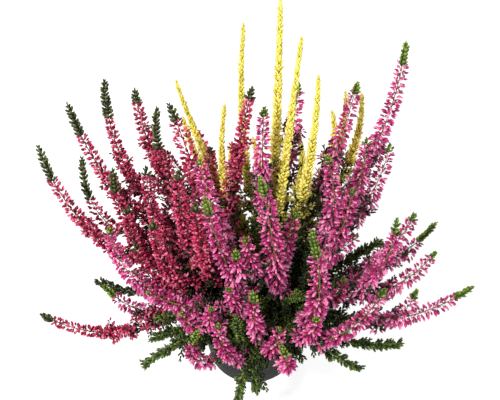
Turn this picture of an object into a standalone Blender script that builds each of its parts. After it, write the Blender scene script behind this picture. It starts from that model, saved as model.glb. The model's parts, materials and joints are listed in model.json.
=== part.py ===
"""Potted heather: three plants, crimson, pink and golden, in one round nursery pot.

Sizes and places are in millimetres, +Z up, with the origin at the middle of the pot's flat base.
Each plant is a woody stock in a hole in the compost, with a leafy core and leafy stems in one
solid. A flowering spray, or a golden shoot with its side shoots, is a solid of its own that
stands on the end of a stem. Leaves and buds sit in opposite pairs, each pair a quarter turn from
the last, and are raised from the shoot's surface by one formula.
"""
import math

import bmesh
import bpy
import numpy as np

MM = 0.001
GAP = 0.3

# Pot
POT_HEIGHT = 96.0
POT_RIM_RADIUS = 60.0
POT_BASE_RADIUS = 42.0
POT_WALL = 1.4
POT_LIP_WIDTH = 3.0
POT_LIP_HEIGHT = 7.0
POT_SHOULDER_DROP = 16.0
POT_SHOULDER_STEP = 1.5
TURN_STEPS = 28
DRAIN_HOLES = 6
DRAIN_HOLE_RADIUS = 4.5
DRAIN_CIRCLE = 28.0

# Compost
SOIL_EDGE_DROP = 9.0
SOIL_DOME = 3.0
SOIL_ROUGHNESS = 1.2
SOIL_RINGS = 4
STOCK_RADIUS = 6.5
STOCK_DEPTH = 24.0
STOCK_SIDES = 10

# Leafy core of each plant, which its stems stand out of
CORE_RADIUS = 19.0
CORE_HEIGHT = 58.0
CORE_BEVEL = 4
CORE_RINGS = 8
CORE_RELIEF = 4.0
CORE_ROUNDING = 1.04

# Height over the compost from which the stems spring, inside the core
ROOT_HEIGHT = 8.0

# Shoots: radius of the stalk, reach of the leaves or buds, and the distance between pairs
STALK_RADIUS = 1.5
STALK_TIP_RADIUS = 0.7
STEM_LEAF_REACH = 3.6
STEM_LEAF_PITCH = 13.0
BARE_STEM_PITCH = 26.0
LEAFY_SHARE = 0.55
BUD_PITCH = 5.6
TIP_LEAF_REACH = 2.9
TIP_LEAF_PITCH = 5.8
TIP_TAPER = 0.45
GOLD_LEAF_PITCH = 7.0
SPRIG_LEAF_REACH = 4.2
SPRIG_LEAF_PITCH = 7.4
LEAF_LIFT = 1.4

# A stem rises by this much before it leans out, and forks at this share of its length
RISE_FIRST = 0.7
FORK_SHARE = 0.6
SIDE_STALK_SHARE = 0.8

# Bending clear: spacing of the points along a shoot, spare room, and the slope along which
# neighbours part, which leaves the plant's outline from the front as it is
POINT_SPACING = 6.0
SPARE_ROOM = 1.0
RIM_ROOM = 4.2
PARTING_SLOPE = np.array((0.0, 0.669, -0.743))
ROUNDS = 400
LOOK_EVERY = 30
SMOOTHING = 2

# Crowns of the plants on the compost
CROWNS = {"crimson": (-27.0, 6.0), "pink": (16.0, -24.0), "golden": (17.0, 27.0)}

# Sprays. Each is a list of shoots, the main one first and then its side shoots. A shoot is its
# foot, its tip, the length of its green tip and the reach of its buds.
CRIMSON_SPRAYS = (
    [((-125, 0, 155), (-180, 30, 252), 32, 5)],
    [((-115, 35, 180), (-156, 60, 273), 31, 5), ((-125, 30, 145), (-153, 65, 203), 40, 5)],
    [((-105, 60, 165), (-126, 80, 281), 40, 4.5)],
    [((-90, 85, 180), (-104, 100, 253), 15, 5), ((-45, 95, 172), (-58, 112, 197), 5, 4)],
    [((-80, 60, 190), (-83, 75, 253), 42, 5.5)],
    [((-45, 20, 210), (-69, 45, 286), 16, 6.5)],
    [((-15, 35, 220), (-1, 50, 298), 10, 4.5), ((-35, 48, 178), (-37, 64, 216), 5, 5)],
    [((-78, 10, 160), (-94, 45, 211), 6, 5)],
    [((-55, -20, 190), (-61, 0, 253), 6, 5)],
    [((-65, -30, 145), (-84, -15, 208), 6, 5)],
    [((-100, 10, 155), (-121, 30, 224), 22, 5), ((-90, -5, 140), (-109, 15, 193), 6, 5)],
    [((-75, -30, 130), (-102, -10, 172), 6, 5)],
    [((-40, -35, 180), (-47, -20, 235), 6, 5)],
    [((-112, -48, 96), (-185, -50, 124), 10, 4.5)],
    [((-75, 90, 118), (-104, 104, 140), 8, 5), ((-60, 95, 120), (-88, 128, 150), 6, 5)],
    [((-30, 90, 125), (-45, 130, 150), 8, 5)],
)
PINK_SPRAYS = (
    [((8, 20, 230), (9, 35, 292), 8, 5)],
    [((-95, -30, 95), (-131, -20, 120), 14, 5)],
    [((-65, -45, 135), (-103, -35, 166), 4, 6), ((-90, -40, 145), (-121, -20, 205), 5, 5)],
    [((-45, -60, 145), (-90, -50, 157), 4, 6), ((-45, -66, 130), (-60, -71, 156), 4, 5)],
    [((34, 62, 235), (39, 77, 279), 9, 5)],
    [((20, -40, 155), (5, -35, 283), 18, 8)],
    [((70, 50, 220), (87, 65, 292), 11, 5.5)],
    [((105, 55, 220), (125, 80, 323), 21, 5.5)],
    [((85, 10, 210), (94, 30, 261), 5, 6)],
    [((98, 20, 190), (117, 45, 239), 5, 6)],
    [((64, -10, 200), (60, 5, 267), 8, 6)],
    [((46, -62, 131), (45, -60, 250), 26, 8)],
    [((25, -30, 180), (35, -20, 225), 6, 6)],
    [((-11, -55, 168), (-38, -40, 266), 16, 6)],
    [((-25, -25, 205), (-43, -10, 276), 4, 6)],
    [((0, -50, 195), (-7, -50, 229), 5, 5), ((-10, -60, 200), (-14, -60, 226), 10, 4)],
    [((-12, -70, 165), (-20, -75, 196), 4, 5), ((-30, -75, 145), (-34, -80, 176), 4, 5)],
    [((-15, -90, 120), (-29, -95, 173), 4, 5), ((-40, -80, 95), (-46, -85, 150), 20, 4)],
    [((3, -80, 145), (0, -80, 197), 10, 5), ((12, -80, 120), (22, -85, 154), 4, 6),
     ((27, -90, 108), (23, -95, 145), 14, 5), ((40, -75, 128), (52, -80, 162), 5, 5)],
    [((98, -40, 158), (118, -25, 223), 14, 4)],
    [((100, -10, 135), (138, 0, 201), 8, 5.5)],
    [((135, 20, 120), (166, 30, 154), 25, 5)],
    [((120, -30, 136), (160, -10, 162), 8, 6)],
    [((118, -55, 123), (190, -40, 151), 18, 5), ((125, -55, 130), (142, -40, 147), 8, 4)],
    [((60, -80, 130), (108, -70, 188), 8, 6)],
    [((70, -20, 190), (81, -5, 237), 5, 6), ((60, -30, 173), (88, -15, 191), 5, 5),
     ((65, -45, 142), (77, -40, 164), 4, 5)],
    [((88, 80, 115), (104, 110, 142), 8, 6), ((68, 95, 112), (74, 122, 140), 8, 6)],
)
GOLDEN_SPRAYS = (
    [((-30, 55, 178), (-67, 95, 269), 0, 3), ((-45, 80, 170), (-63, 100, 220), 0, 3)],
    [((-19, 28, 172), (-24, 65, 267), 0, 3.2), ((-17, 45, 182), (-19, 70, 218), 0, 3)],
    [((-3, 50, 175), (-8, 100, 325), 0, 3.2)],
    [((19, 40, 188), (22, 95, 353), 0, 3.8)],
    [((22, 20, 177), (39, 75, 331), 0, 3.5)],
    [((42, 20, 197), (53, 55, 308), 0, 3.5)],
    [((70, 70, 195), (70, 90, 238), 0, 3), ((77, 75, 203), (81, 95, 255), 0, 3)],
    [((85, 60, 200), (94, 85, 262), 0, 3.2)],
    [((10, 90, 130), (0, 130, 165), 0, 3.2), ((40, 90, 130), (44, 132, 170), 0, 3.2)],
)

# Leafy sprigs without flowers, joined to their plant: foot and tip
LEAFY_SPRIGS = {
    "crimson": (
        ((-110, -5, 97), (-145, 0, 108)),
        ((-60, -14, 112), (-84, -18, 102)),
    ),
    "pink": (
        ((-50, -58, 106), (-100, -66, 66)),
        ((-48, -36, 108), (-88, -38, 102)),
        ((-47, -48, 106), (-93, -52, 88)),
        ((-9, -80, 132), (-13, -85, 169)),
        ((-3, -85, 109), (-13, -92, 51)),
        ((3, -82, 114), (4, -95, 67)),
        ((86, -65, 104), (135, -55, 86)),
        ((64, -74, 106), (96, -76, 76)),
        ((66, 0, 119), (118, 20, 141)),
        ((20, -58, 112), (30, -78, 98)),
        ((-18, -56, 112), (-26, -76, 98)),
        ((42, -50, 112), (56, -68, 98)),
        ((-36, -46, 112), (-50, -62, 100)),
        ((4, -60, 114), (8, -80, 96)),
        ((60, -34, 112), (78, -48, 100)),
    ),
    "golden": (),
}

# Short leafy sprigs that fill each plant's outer side, fanned about its outward bearing
FAN_BEARINGS = (-52.0, -12.0, 10.0, 31.0, 52.0)
FAN_REACHES = (40.0, 50.0)
FAN_RISES = (56.0, 30.0)

COLOURS = {
    "pot": (0.030, 0.032, 0.036),
    "soil": (0.050, 0.032, 0.020),
    "stems": (0.090, 0.170, 0.050),
    "crimson": (0.520, 0.040, 0.140),
    "pink": (0.760, 0.150, 0.420),
    "golden": (0.800, 0.660, 0.090),
}
ROUGHNESS = {"pot": 0.55, "soil": 0.95, "stems": 0.7, "crimson": 0.6, "pink": 0.6, "golden": 0.6}


def soil_height(radius):
    """Height of the compost's smooth surface at a distance from the middle."""
    edge = POT_HEIGHT - SOIL_EDGE_DROP
    return edge + SOIL_DOME * (1.0 - (radius / POT_RIM_RADIUS) ** 2)


def pot_radius(height):
    """Outer radius of the pot's wall at a height."""
    return POT_BASE_RADIUS + (POT_RIM_RADIUS - POT_LIP_WIDTH - POT_BASE_RADIUS) * height / POT_HEIGHT


def clear_scene():
    for obj in list(bpy.data.objects):
        bpy.data.objects.remove(obj, do_unlink=True)


def new_collection(name):
    collection = bpy.data.collections.new(name)
    bpy.context.scene.collection.children.link(collection)
    return collection


def finish_object(obj, kind):
    """Give an object its own material of the kind's colour, and smooth shading with sharp edges."""
    material = bpy.data.materials.new(obj.name)
    material.use_nodes = True
    shader = material.node_tree.nodes["Principled BSDF"]
    shader.inputs["Base Color"].default_value = (*COLOURS[kind], 1.0)
    shader.inputs["Roughness"].default_value = ROUGHNESS[kind]
    obj.data.materials.clear()
    obj.data.materials.append(material)
    obj.data.shade_smooth()
    obj.data.set_sharp_from_angle(angle=math.radians(30))


def unit(vector):
    return vector / np.linalg.norm(vector)


def hermite(start, start_slope, end, end_slope, count):
    """Points along a cubic from one end to the other, without the last."""
    t = (np.arange(count) / count)[:, None]
    return ((2 * t**3 - 3 * t**2 + 1) * start + (t**3 - 2 * t**2 + t) * start_slope
            + (3 * t**2 - 2 * t**3) * end + (t**3 - t**2) * end_slope)


def route(start, heading, foot, tip):
    """Centre line from a start through the foot to the tip, and the index of the foot in it."""
    start, foot, tip = (np.array(p, float) for p in (start, foot, tip))
    lower = np.linalg.norm(foot - start)
    upper = np.linalg.norm(tip - foot)
    turn = unit(unit(foot - start) + unit(tip - foot))
    low_count = max(2, round(lower / POINT_SPACING))
    high_count = max(3, round(upper / POINT_SPACING))
    low_part = hermite(start, heading * lower, foot, turn * lower, low_count)
    high_part = hermite(foot, turn * upper, tip, 2 * (tip - foot) - turn * upper, high_count)
    return np.vstack((low_part, high_part, tip)), low_count


def swell(u):
    """How full a flower head is along its length, from its foot at 0 to its end at 1."""
    return np.clip(np.minimum(0.6 + 3.5 * u, 1.25 - 0.5 * u), 0, 1)


class Shoot:
    """One shoot: its centre line, where its parts begin, and how far its leaves or buds reach."""

    def __init__(self, plant, body, kind, start, heading, foot, tip, green_tip, reach):
        self.plant, self.body, self.kind = plant, body, kind
        self.green_tip, self.reach = green_tip, reach
        self.points, self.foot = route(start, heading, foot, tip)
        self.joint = self.foot
        self.parent = None

    def widths(self):
        """Outer radius at each point, for bending clear."""
        wide = np.full(len(self.points), STEM_LEAF_REACH)
        wide[: int(self.foot * (1 - LEAFY_SHARE))] = STALK_RADIUS
        span = np.linspace(0, 1, len(wide) - self.foot)
        wide[self.foot:] = self.reach * swell(span)
        if self.kind == "sprig":
            wide[:] = SPRIG_LEAF_REACH
        return wide


def stem_heading(root, foot):
    """A stem rises first, then leans out towards its foot."""
    away = unit(np.array(foot, float) - root)
    return unit(away + np.array((0.0, 0.0, RISE_FIRST)))


def fan_sprigs(plant):
    """Feet and tips of a plant's short sprigs, high and low in turn."""
    x, y = CROWNS[plant]
    outward = math.atan2(y, x)
    sprigs = []
    for k, turn in enumerate(FAN_BEARINGS):
        bearing = outward + math.radians(turn)
        reach, rise = FAN_REACHES[k % 2], FAN_RISES[k % 2]
        way = np.array((math.cos(bearing), math.sin(bearing)))
        base = soil_height(0) + ROOT_HEIGHT
        foot = (x + way[0] * reach * 0.5, y + way[1] * reach * 0.5, base + rise * 0.6)
        tip = (x + way[0] * reach, y + way[1] * reach, base + rise)
        sprigs.append((foot, tip))
    return tuple(sprigs)


def plant_shoots():
    """Every shoot of the three plants, in its first place."""
    shoots = []
    tables = {"crimson": CRIMSON_SPRAYS, "pink": PINK_SPRAYS, "golden": GOLDEN_SPRAYS}
    for plant, sprays in tables.items():
        root = np.array((*CROWNS[plant], soil_height(0) + ROOT_HEIGHT))
        word = "shoot" if plant == "golden" else "spray"
        for number, spray in enumerate(sprays, 1):
            body = f"{plant}_{word}_{number:02d}"
            foot, tip, green_tip, reach = spray[0]
            main = Shoot(plant, body, "spray", root, stem_heading(root, foot),
                         foot, tip, green_tip, reach)
            shoots.append(main)
            for foot, tip, green_tip, reach in spray[1:]:
                main.joint = int(main.foot * FORK_SHARE)
                start = main.points[main.joint + 1]
                side = Shoot(plant, body, "side", start, unit(np.array(foot, float) - start),
                             foot, tip, green_tip, reach)
                side.parent = main
                shoots.append(side)
        for foot, tip in LEAFY_SPRIGS[plant] + fan_sprigs(plant):
            shoots.append(Shoot(plant, plant + "_stems", "sprig", root, stem_heading(root, foot),
                                foot, tip, 0, SPRIG_LEAF_REACH))
    return shoots


def core_points(plant):
    """Points and radii that stand for a plant's core when shoots are bent clear of it."""
    heights = np.linspace(0.0, CORE_HEIGHT * 0.75, 5)
    base = soil_height(0)
    points = np.array([(*CROWNS[plant], base + h) for h in heights])
    radii = (CORE_RADIUS + CORE_RELIEF) * np.sqrt(1 - (heights / (CORE_HEIGHT * CORE_ROUNDING)) ** 2)
    return points, radii


def push_from_pot(points, widths):
    """Steps that lift points off the compost and the rim, or move them out past the wall."""
    step = np.zeros_like(points)
    radius = np.hypot(points[:, 0], points[:, 1])
    outward = points[:, :2] / np.maximum(radius, GAP)[:, None]
    room = widths + SPARE_ROOM
    sink = soil_height(0) + room - points[:, 2]
    over_soil = radius < POT_RIM_RADIUS - POT_LIP_WIDTH
    inside = over_soil & (sink > 0)
    step[inside, 2] += sink[inside]
    rim_mid = POT_RIM_RADIUS - POT_LIP_WIDTH / 2
    rim_offset = np.stack((radius - rim_mid, points[:, 2] - (POT_HEIGHT - POT_LIP_HEIGHT / 2)), 1)
    distance = np.linalg.norm(rim_offset, axis=1)
    short = room + RIM_ROOM - distance
    near = short > 0
    way = rim_offset[near] / distance[near, None]
    step[near, :2] += outward[near] * (way[:, :1] * short[near, None])
    step[near, 2] += way[:, 1] * short[near]
    wall = pot_radius(points[:, 2]) + room - radius
    beside = ~over_soil & (points[:, 2] < POT_HEIGHT - POT_LIP_HEIGHT) & (wall > 0)
    step[beside, :2] += outward[beside] * wall[beside, None]
    return step


def point_bodies(shoots, names):
    """Which body and which shoot each point belongs to. A stem's points are its plant's stems."""
    bodies, owners = [], []
    for index, s in enumerate(shoots):
        own = np.full(len(s.points), names.index(s.body))
        if s.kind == "spray":
            own[:s.joint] = names.index(s.plant + "_stems")
        bodies.append(own)
        owners.append(np.full(len(s.points), index))
    return np.concatenate(bodies), np.concatenate(owners)


def part_neighbours(place, wide, a, b):
    """How far each point moves along the parting slope to leave its neighbours room."""
    apart = place[b] - place[a]
    squared = np.sum(apart * apart, axis=1)
    along = apart @ PARTING_SLOPE
    need = wide[a] + wide[b] + SPARE_ROOM
    hit = squared < need**2
    gap = np.sqrt(np.maximum(need**2 - squared + along**2, 0)) - np.abs(along)
    move = np.where(hit, gap, 0) * 0.5 * np.where(along >= 0, 1, -1)
    push = np.zeros(len(place))
    count = np.zeros(len(place))
    np.add.at(push, b, move)
    np.add.at(push, a, -move)
    np.add.at(count, a, hit)
    np.add.at(count, b, hit)
    return push / np.maximum(count, 1)


def bend_clear(shoots):
    """Bend the shoots smoothly until no two bodies touch."""
    first = np.cumsum([0] + [len(s.points) for s in shoots])
    home = np.vstack([s.points for s in shoots])
    widths = np.concatenate([s.widths() for s in shoots])
    names = sorted({s.body for s in shoots} | {plant + "_stems" for plant in CROWNS})
    bodies, owners = point_bodies(shoots, names)
    for plant in CROWNS:
        points, radii = core_points(plant)
        bodies = np.append(bodies, np.full(len(points), names.index(plant + "_stems")))
        owners = np.append(owners, np.full(len(points), -1))
        widths = np.append(widths, radii)
        home = np.vstack((home, points))
    moving = first[-1]
    in_core = np.linalg.norm(home[:moving] - home[first[owners[:moving]]], axis=1) < ROOT_HEIGHT
    in_core &= np.array([s.parent is None for s in shoots])[owners[:moving]]
    shift = np.zeros_like(home)
    for turn in range(ROUNDS):
        place = home + shift
        if turn % LOOK_EVERY == 0:
            a, b = near_pairs(place, bodies, owners, 2 * widths.max() + 2 * POINT_SPACING)
        push = part_neighbours(place, widths, a, b)
        shift[:moving] += push[:moving, None] * PARTING_SLOPE
        lift = push_from_pot((home + shift)[:moving], widths[:moving])
        lift[in_core] = 0
        shift[:moving] += lift
        smooth_along(shift, shoots, first)
    for s, start in zip(shoots, first):
        s.points = (home + shift)[start:start + len(s.points)]


def near_pairs(place, bodies, owners, reach):
    """Index pairs of points of different bodies and shoots that are within reach."""
    a_list, b_list = [], []
    for i in range(len(place) - 1):
        away = place[i + 1:] - place[i]
        close = (np.sum(away * away, axis=1) < reach * reach) & (bodies[i + 1:] != bodies[i])
        close &= owners[i + 1:] != owners[i]
        j = np.nonzero(close)[0] + i + 1
        a_list.append(np.full(len(j), i))
        b_list.append(j)
    return np.concatenate(a_list), np.concatenate(b_list)


def smooth_along(shift, shoots, first):
    """Spread each push along its shoot. A stem's root stays, and a side shoot follows its parent."""
    for s, start in zip(shoots, first):
        part = shift[start:start + len(s.points)]
        if s.parent is None:
            part[0] = 0
        else:
            parent = first[shoots.index(s.parent)] + s.parent.joint + 1
            part[0] = shift[parent]
        for _ in range(SMOOTHING):
            part[1:-1] = part[1:-1] * 0.5 + (part[:-2] + part[2:]) * 0.25
            part[-1] = part[-1] * 0.75 + part[-2] * 0.25


def lengths_along(points):
    """Distance of each point of a centre line from its start."""
    return np.concatenate(([0], np.cumsum(np.linalg.norm(np.diff(points, axis=0), axis=1))))


def rings(start, end, pitch):
    """Evenly spaced ring places from start to just short of end, near the given pitch."""
    count = max(1, round((end - start) / pitch))
    return start + (end - start) * np.arange(count) / count


def shoot_rings(shoot, start, end):
    """Ring places between two lengths along a shoot, with the reach of the leaves or buds there."""
    along = lengths_along(shoot.points)
    foot, total = along[shoot.foot], along[-1]
    leafy = foot * (1 - LEAFY_SHARE) if shoot.kind != "side" else 0.0
    head_end = total - shoot.green_tip
    if shoot.kind == "sprig":
        zones = ((0, leafy, BARE_STEM_PITCH, 0), (leafy, total, SPRIG_LEAF_PITCH, shoot.reach))
    elif shoot.plant == "golden":
        zones = ((0, leafy, BARE_STEM_PITCH, 0), (leafy, foot, STEM_LEAF_PITCH, STEM_LEAF_REACH),
                 (foot, total, GOLD_LEAF_PITCH, shoot.reach))
    else:
        zones = ((0, leafy, BARE_STEM_PITCH, 0), (leafy, foot, STEM_LEAF_PITCH, STEM_LEAF_REACH),
                 (foot, head_end, BUD_PITCH, shoot.reach),
                 (head_end, total, TIP_LEAF_PITCH, TIP_LEAF_REACH))
    places, reaches = [], []
    for zone_start, zone_end, pitch, reach in zones:
        a, b = max(zone_start, start), min(zone_end, end)
        if b - a < GAP:
            continue
        here = rings(a, b, pitch)
        places.append(here)
        if reach == shoot.reach:
            span = (here - zone_start) / (zone_end - zone_start)
            reaches.append(reach * swell(span))
        elif zone_end == total and reach:
            reaches.append(reach * (1 - TIP_TAPER * (here - zone_start) / (total - zone_start)))
        else:
            reaches.append(np.full(len(here), float(reach)))
    return np.concatenate(places + [[end]]), np.concatenate(reaches + [[0.0]])


def relief_tube(name, centres, stalk, reach, resolution=0):
    """A closed tube whose opposite corners stand out in turn, ring by ring, as leaves or buds do."""
    curve = bpy.data.curves.new(name, "CURVE")
    curve.dimensions = "3D"
    curve.bevel_depth = MM
    curve.bevel_resolution = resolution
    spline = curve.splines.new("POLY")
    spline.points.add(len(centres) - 1)
    for point, centre, radius in zip(spline.points, centres, stalk):
        point.co = (*(centre * MM), 1.0)
        point.radius = radius
    guide = bpy.data.objects.new(name, curve)
    bpy.context.scene.collection.objects.link(guide)
    bpy.context.view_layer.update()
    mesh = bpy.data.meshes.new_from_object(guide.evaluated_get(bpy.context.evaluated_depsgraph_get()))
    bpy.data.objects.remove(guide, do_unlink=True)
    sides = len(mesh.vertices) // len(centres)
    places = np.empty(len(mesh.vertices) * 3)
    mesh.vertices.foreach_get("co", places)
    places = places.reshape(len(centres), sides, 3)
    middles = (centres * MM)[:, None, :]
    tangents = np.gradient(centres, axis=0)
    tangents /= np.linalg.norm(tangents, axis=1)[:, None]
    ring, side = np.meshgrid(np.arange(len(centres)), np.arange(sides), indexing="ij")
    stands_out = ((ring + side) % 2 == 0) & (reach[:, None] > stalk[:, None])
    grow = np.where(stands_out, reach[:, None] / stalk[:, None], 1.0)[:, :, None]
    rise = np.where(stands_out, LEAF_LIFT * MM, 0.0)[:, :, None] * tangents[:, None, :]
    places = middles + (places - middles) * grow + rise
    mesh.vertices.foreach_set("co", places.ravel())
    raised = (ring + side).ravel() % 2 == 0
    bm = bmesh.new()
    bm.from_mesh(mesh)
    bm.verts.ensure_lookup_table()
    for face in list(bm.faces):
        hollow = [v for v in face.verts if not raised[v.index]]
        bmesh.utils.face_split(face, hollow[0], hollow[1])
    bmesh.ops.holes_fill(bm, edges=[e for e in bm.edges if e.is_boundary], sides=0)
    bmesh.ops.recalc_face_normals(bm, faces=bm.faces)
    bm.to_mesh(mesh)
    bm.free()
    obj = bpy.data.objects.new(name, mesh)
    bpy.context.scene.collection.objects.link(obj)
    return obj


def shoot_tube(name, shoot, start, end):
    """The part of a shoot between two lengths along it, as one closed tube."""
    along = lengths_along(shoot.points)
    place, reach = shoot_rings(shoot, start, end)
    reach[0] = 0.0
    centres = np.stack([np.interp(place, along, shoot.points[:, k]) for k in range(3)], 1)
    taper = place / along[-1]
    stalk = STALK_RADIUS + (STALK_TIP_RADIUS - STALK_RADIUS) * taper
    if shoot.kind == "side":
        stalk *= SIDE_STALK_SHARE
    return relief_tube(name, centres, stalk, reach)


def keep_largest_body(mesh):
    """Drop loose scraps and sealed inner skins that a union leaves."""
    bm = bmesh.new()
    bm.from_mesh(mesh)
    left = set(bm.verts)
    groups = []
    while left:
        stack = [left.pop()]
        group = set(stack)
        while stack:
            for edge in stack.pop().link_edges:
                for vert in edge.verts:
                    if vert in left:
                        left.remove(vert)
                        group.add(vert)
                        stack.append(vert)
        groups.append(group)
    groups.sort(key=len)
    loose = [vert for group in groups[:-1] for vert in group]
    bmesh.ops.delete(bm, geom=loose, context="VERTS")
    bm.to_mesh(mesh)
    bm.free()


def move_to(obj, collection):
    """Put an object in one collection, and in no other."""
    for old in list(obj.users_collection):
        old.objects.unlink(obj)
    collection.objects.link(obj)


def fuse(name, pieces):
    """Join pieces in one solid by a union, and remove them."""
    first, others = pieces[0], pieces[1:]
    if others:
        group = bpy.data.collections.new(name + "_pieces")
        for piece in others:
            move_to(piece, group)
        bpy.context.scene.collection.children.link(group)
        union = first.modifiers.new("union", "BOOLEAN")
        union.operation = "UNION"
        union.operand_type = "COLLECTION"
        union.collection = group
        union.solver = "MANIFOLD"
        bpy.context.view_layer.update()
        graph = bpy.context.evaluated_depsgraph_get()
        mesh = bpy.data.meshes.new_from_object(first.evaluated_get(graph))
        keep_largest_body(mesh)
        for piece in others:
            bpy.data.objects.remove(piece, do_unlink=True)
        bpy.data.collections.remove(group)
    else:
        mesh = first.data.copy()
    bpy.data.objects.remove(first, do_unlink=True)
    mesh.name = name
    return bpy.data.objects.new(name, mesh)


def turned(name, profile):
    """A solid turned round the Z axis from a profile of radius and height, top to bottom."""
    mesh = bpy.data.meshes.new(name)
    edges = [(i, i + 1) for i in range(len(profile) - 1)]
    mesh.from_pydata([(radius * MM, 0.0, height * MM) for radius, height in profile], edges, [])
    obj = bpy.data.objects.new(name, mesh)
    screw = obj.modifiers.new("turn", "SCREW")
    screw.steps = screw.render_steps = TURN_STEPS
    screw.use_merge_vertices = True
    screw.merge_threshold = 0.00001
    return obj


def make_pot(cutters):
    """A thin pot with a rolled lip, a shoulder below it and drain holes in its flat base."""
    base_in = POT_WALL
    shoulder = POT_HEIGHT - POT_SHOULDER_DROP
    lip = POT_RIM_RADIUS
    wall_top = POT_RIM_RADIUS - POT_LIP_WIDTH
    below = pot_radius(shoulder) - POT_SHOULDER_STEP
    profile = [
        (0.0, base_in), (POT_BASE_RADIUS - POT_WALL, base_in),
        (below - POT_WALL, shoulder - 2), (wall_top - POT_WALL, shoulder + 1),
        (wall_top - POT_WALL, POT_HEIGHT), (lip - 0.8, POT_HEIGHT), (lip, POT_HEIGHT - 1.2),
        (lip, POT_HEIGHT - POT_LIP_HEIGHT), (wall_top, POT_HEIGHT - POT_LIP_HEIGHT),
        (wall_top, shoulder), (below, shoulder - 3), (POT_BASE_RADIUS + 0.4, 1.0),
        (POT_BASE_RADIUS - 0.8, 0.0), (0.0, 0.0),
    ]
    pot = turned("pot", profile)
    for k in range(DRAIN_HOLES):
        angle = 2 * math.pi * k / DRAIN_HOLES
        place = (DRAIN_CIRCLE * MM * math.cos(angle), DRAIN_CIRCLE * MM * math.sin(angle), 0.0)
        bpy.ops.mesh.primitive_cylinder_add(vertices=12, radius=DRAIN_HOLE_RADIUS * MM,
                                            depth=4 * POT_WALL * MM, location=place)
        cut(pot, bpy.context.object, f"drain_cutter_{k + 1}", cutters)
    return pot


def cut(obj, cutter, name, cutters):
    """Cut a shape out of an object, and keep the cutter hidden among the cutters."""
    cutter.name = name
    cutter.hide_render = True
    cutter.display_type = "WIRE"
    move_to(cutter, cutters)
    difference = obj.modifiers.new(name, "BOOLEAN")
    difference.operation = "DIFFERENCE"
    difference.object = cutter


def make_soil(cutters):
    """The root ball: compost that fills the pot, rough on top, with a hole for each stock."""
    shoulder = POT_HEIGHT - POT_SHOULDER_DROP
    top_radius = POT_RIM_RADIUS - POT_LIP_WIDTH - POT_WALL - GAP
    low_radius = pot_radius(shoulder) - POT_SHOULDER_STEP - POT_WALL - GAP
    base_radius = POT_BASE_RADIUS - POT_WALL - GAP
    floor = POT_WALL + GAP
    top = [(r, soil_height(r)) for r in np.linspace(0.0, top_radius, SOIL_RINGS)]
    profile = top + [(top_radius, shoulder + 1.5 + GAP), (low_radius, shoulder - 2),
                     (base_radius, floor), (0.0, floor)]
    smooth = turned("soil_form", profile)
    bpy.context.scene.collection.objects.link(smooth)
    bpy.context.view_layer.update()
    graph = bpy.context.evaluated_depsgraph_get()
    mesh = bpy.data.meshes.new_from_object(smooth.evaluated_get(graph))
    bpy.data.objects.remove(smooth, do_unlink=True)
    for vert in mesh.vertices:
        x, y, z = vert.co / MM
        if z > soil_height(top_radius) - 0.1 and math.hypot(x, y) < top_radius - 1:
            vert.co.z += SOIL_ROUGHNESS * math.sin(0.31 * x + 1.0) * math.cos(0.27 * y - 0.4 * x) * MM
    soil = bpy.data.objects.new("soil", mesh)
    for plant, (x, y) in CROWNS.items():
        cutter = upright_cylinder(x, y, soil_height(0) - STOCK_DEPTH - GAP, POT_HEIGHT + 10,
                                  STOCK_RADIUS + GAP)
        cut(soil, cutter, plant + "_hole_cutter", cutters)
    return soil


def upright_cylinder(x, y, bottom, top, radius):
    """A plain cylinder between two heights."""
    bpy.ops.mesh.primitive_cylinder_add(vertices=STOCK_SIDES, radius=radius * MM,
                                        depth=(top - bottom) * MM,
                                        location=(x * MM, y * MM, (top + bottom) / 2 * MM))
    return bpy.context.object


def make_core(plant):
    """The leafy heart of a plant: a small dome with leaves raised all over it."""
    base = soil_height(0) + SOIL_ROUGHNESS + 1.0
    height = np.linspace(0.0, CORE_HEIGHT, CORE_RINGS)
    centres = np.array([(*CROWNS[plant], base + h) for h in height])
    dome = CORE_RADIUS * np.sqrt(1 - (height / (CORE_HEIGHT * CORE_ROUNDING)) ** 2)
    dome[0] = CORE_RADIUS * 0.8
    reach = dome + CORE_RELIEF
    reach[[0, -1]] = 0.0
    return relief_tube(plant + "_core", centres, dome, reach, CORE_BEVEL)


def make_stems(plant, shoots):
    """A plant's woody stock, leafy core, stems and leafy sprigs, in one solid."""
    x, y = CROWNS[plant]
    stock = upright_cylinder(x, y, soil_height(0) - STOCK_DEPTH, soil_height(0) + 12, STOCK_RADIUS)
    pieces = [make_core(plant), stock]
    for shoot in shoots:
        if shoot.plant != plant or shoot.kind == "side":
            continue
        along = lengths_along(shoot.points)
        end = along[-1] if shoot.kind == "sprig" else along[shoot.joint] - GAP / 2
        pieces.append(shoot_tube(shoot.body + "_stem", shoot, 0.0, end))
    return fuse(plant + "_stems", pieces)


def make_spray(body, shoots):
    """A flowering spray or a golden shoot: the main shoot from its joint up, and its side shoots."""
    pieces = []
    for shoot in shoots:
        if shoot.body == body:
            along = lengths_along(shoot.points)
            start = 0.0 if shoot.kind == "side" else along[shoot.joint] + GAP / 2
            pieces.append(shoot_tube(body + "_tube", shoot, start, along[-1]))
    return fuse(body, pieces)


def main():
    clear_scene()
    heather = new_collection("potted_heather")
    cutters = new_collection("cutters")
    shoots = plant_shoots()
    bend_clear(shoots)
    parts = [(make_pot(cutters), "pot"), (make_soil(cutters), "soil")]
    for plant in CROWNS:
        parts.append((make_stems(plant, shoots), "stems"))
        bodies = sorted({s.body for s in shoots if s.plant == plant and s.kind == "spray"})
        for body in bodies:
            parts.append((make_spray(body, shoots), plant))
    for obj, kind in parts:
        move_to(obj, heather)
        finish_object(obj, kind)


main()
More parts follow.
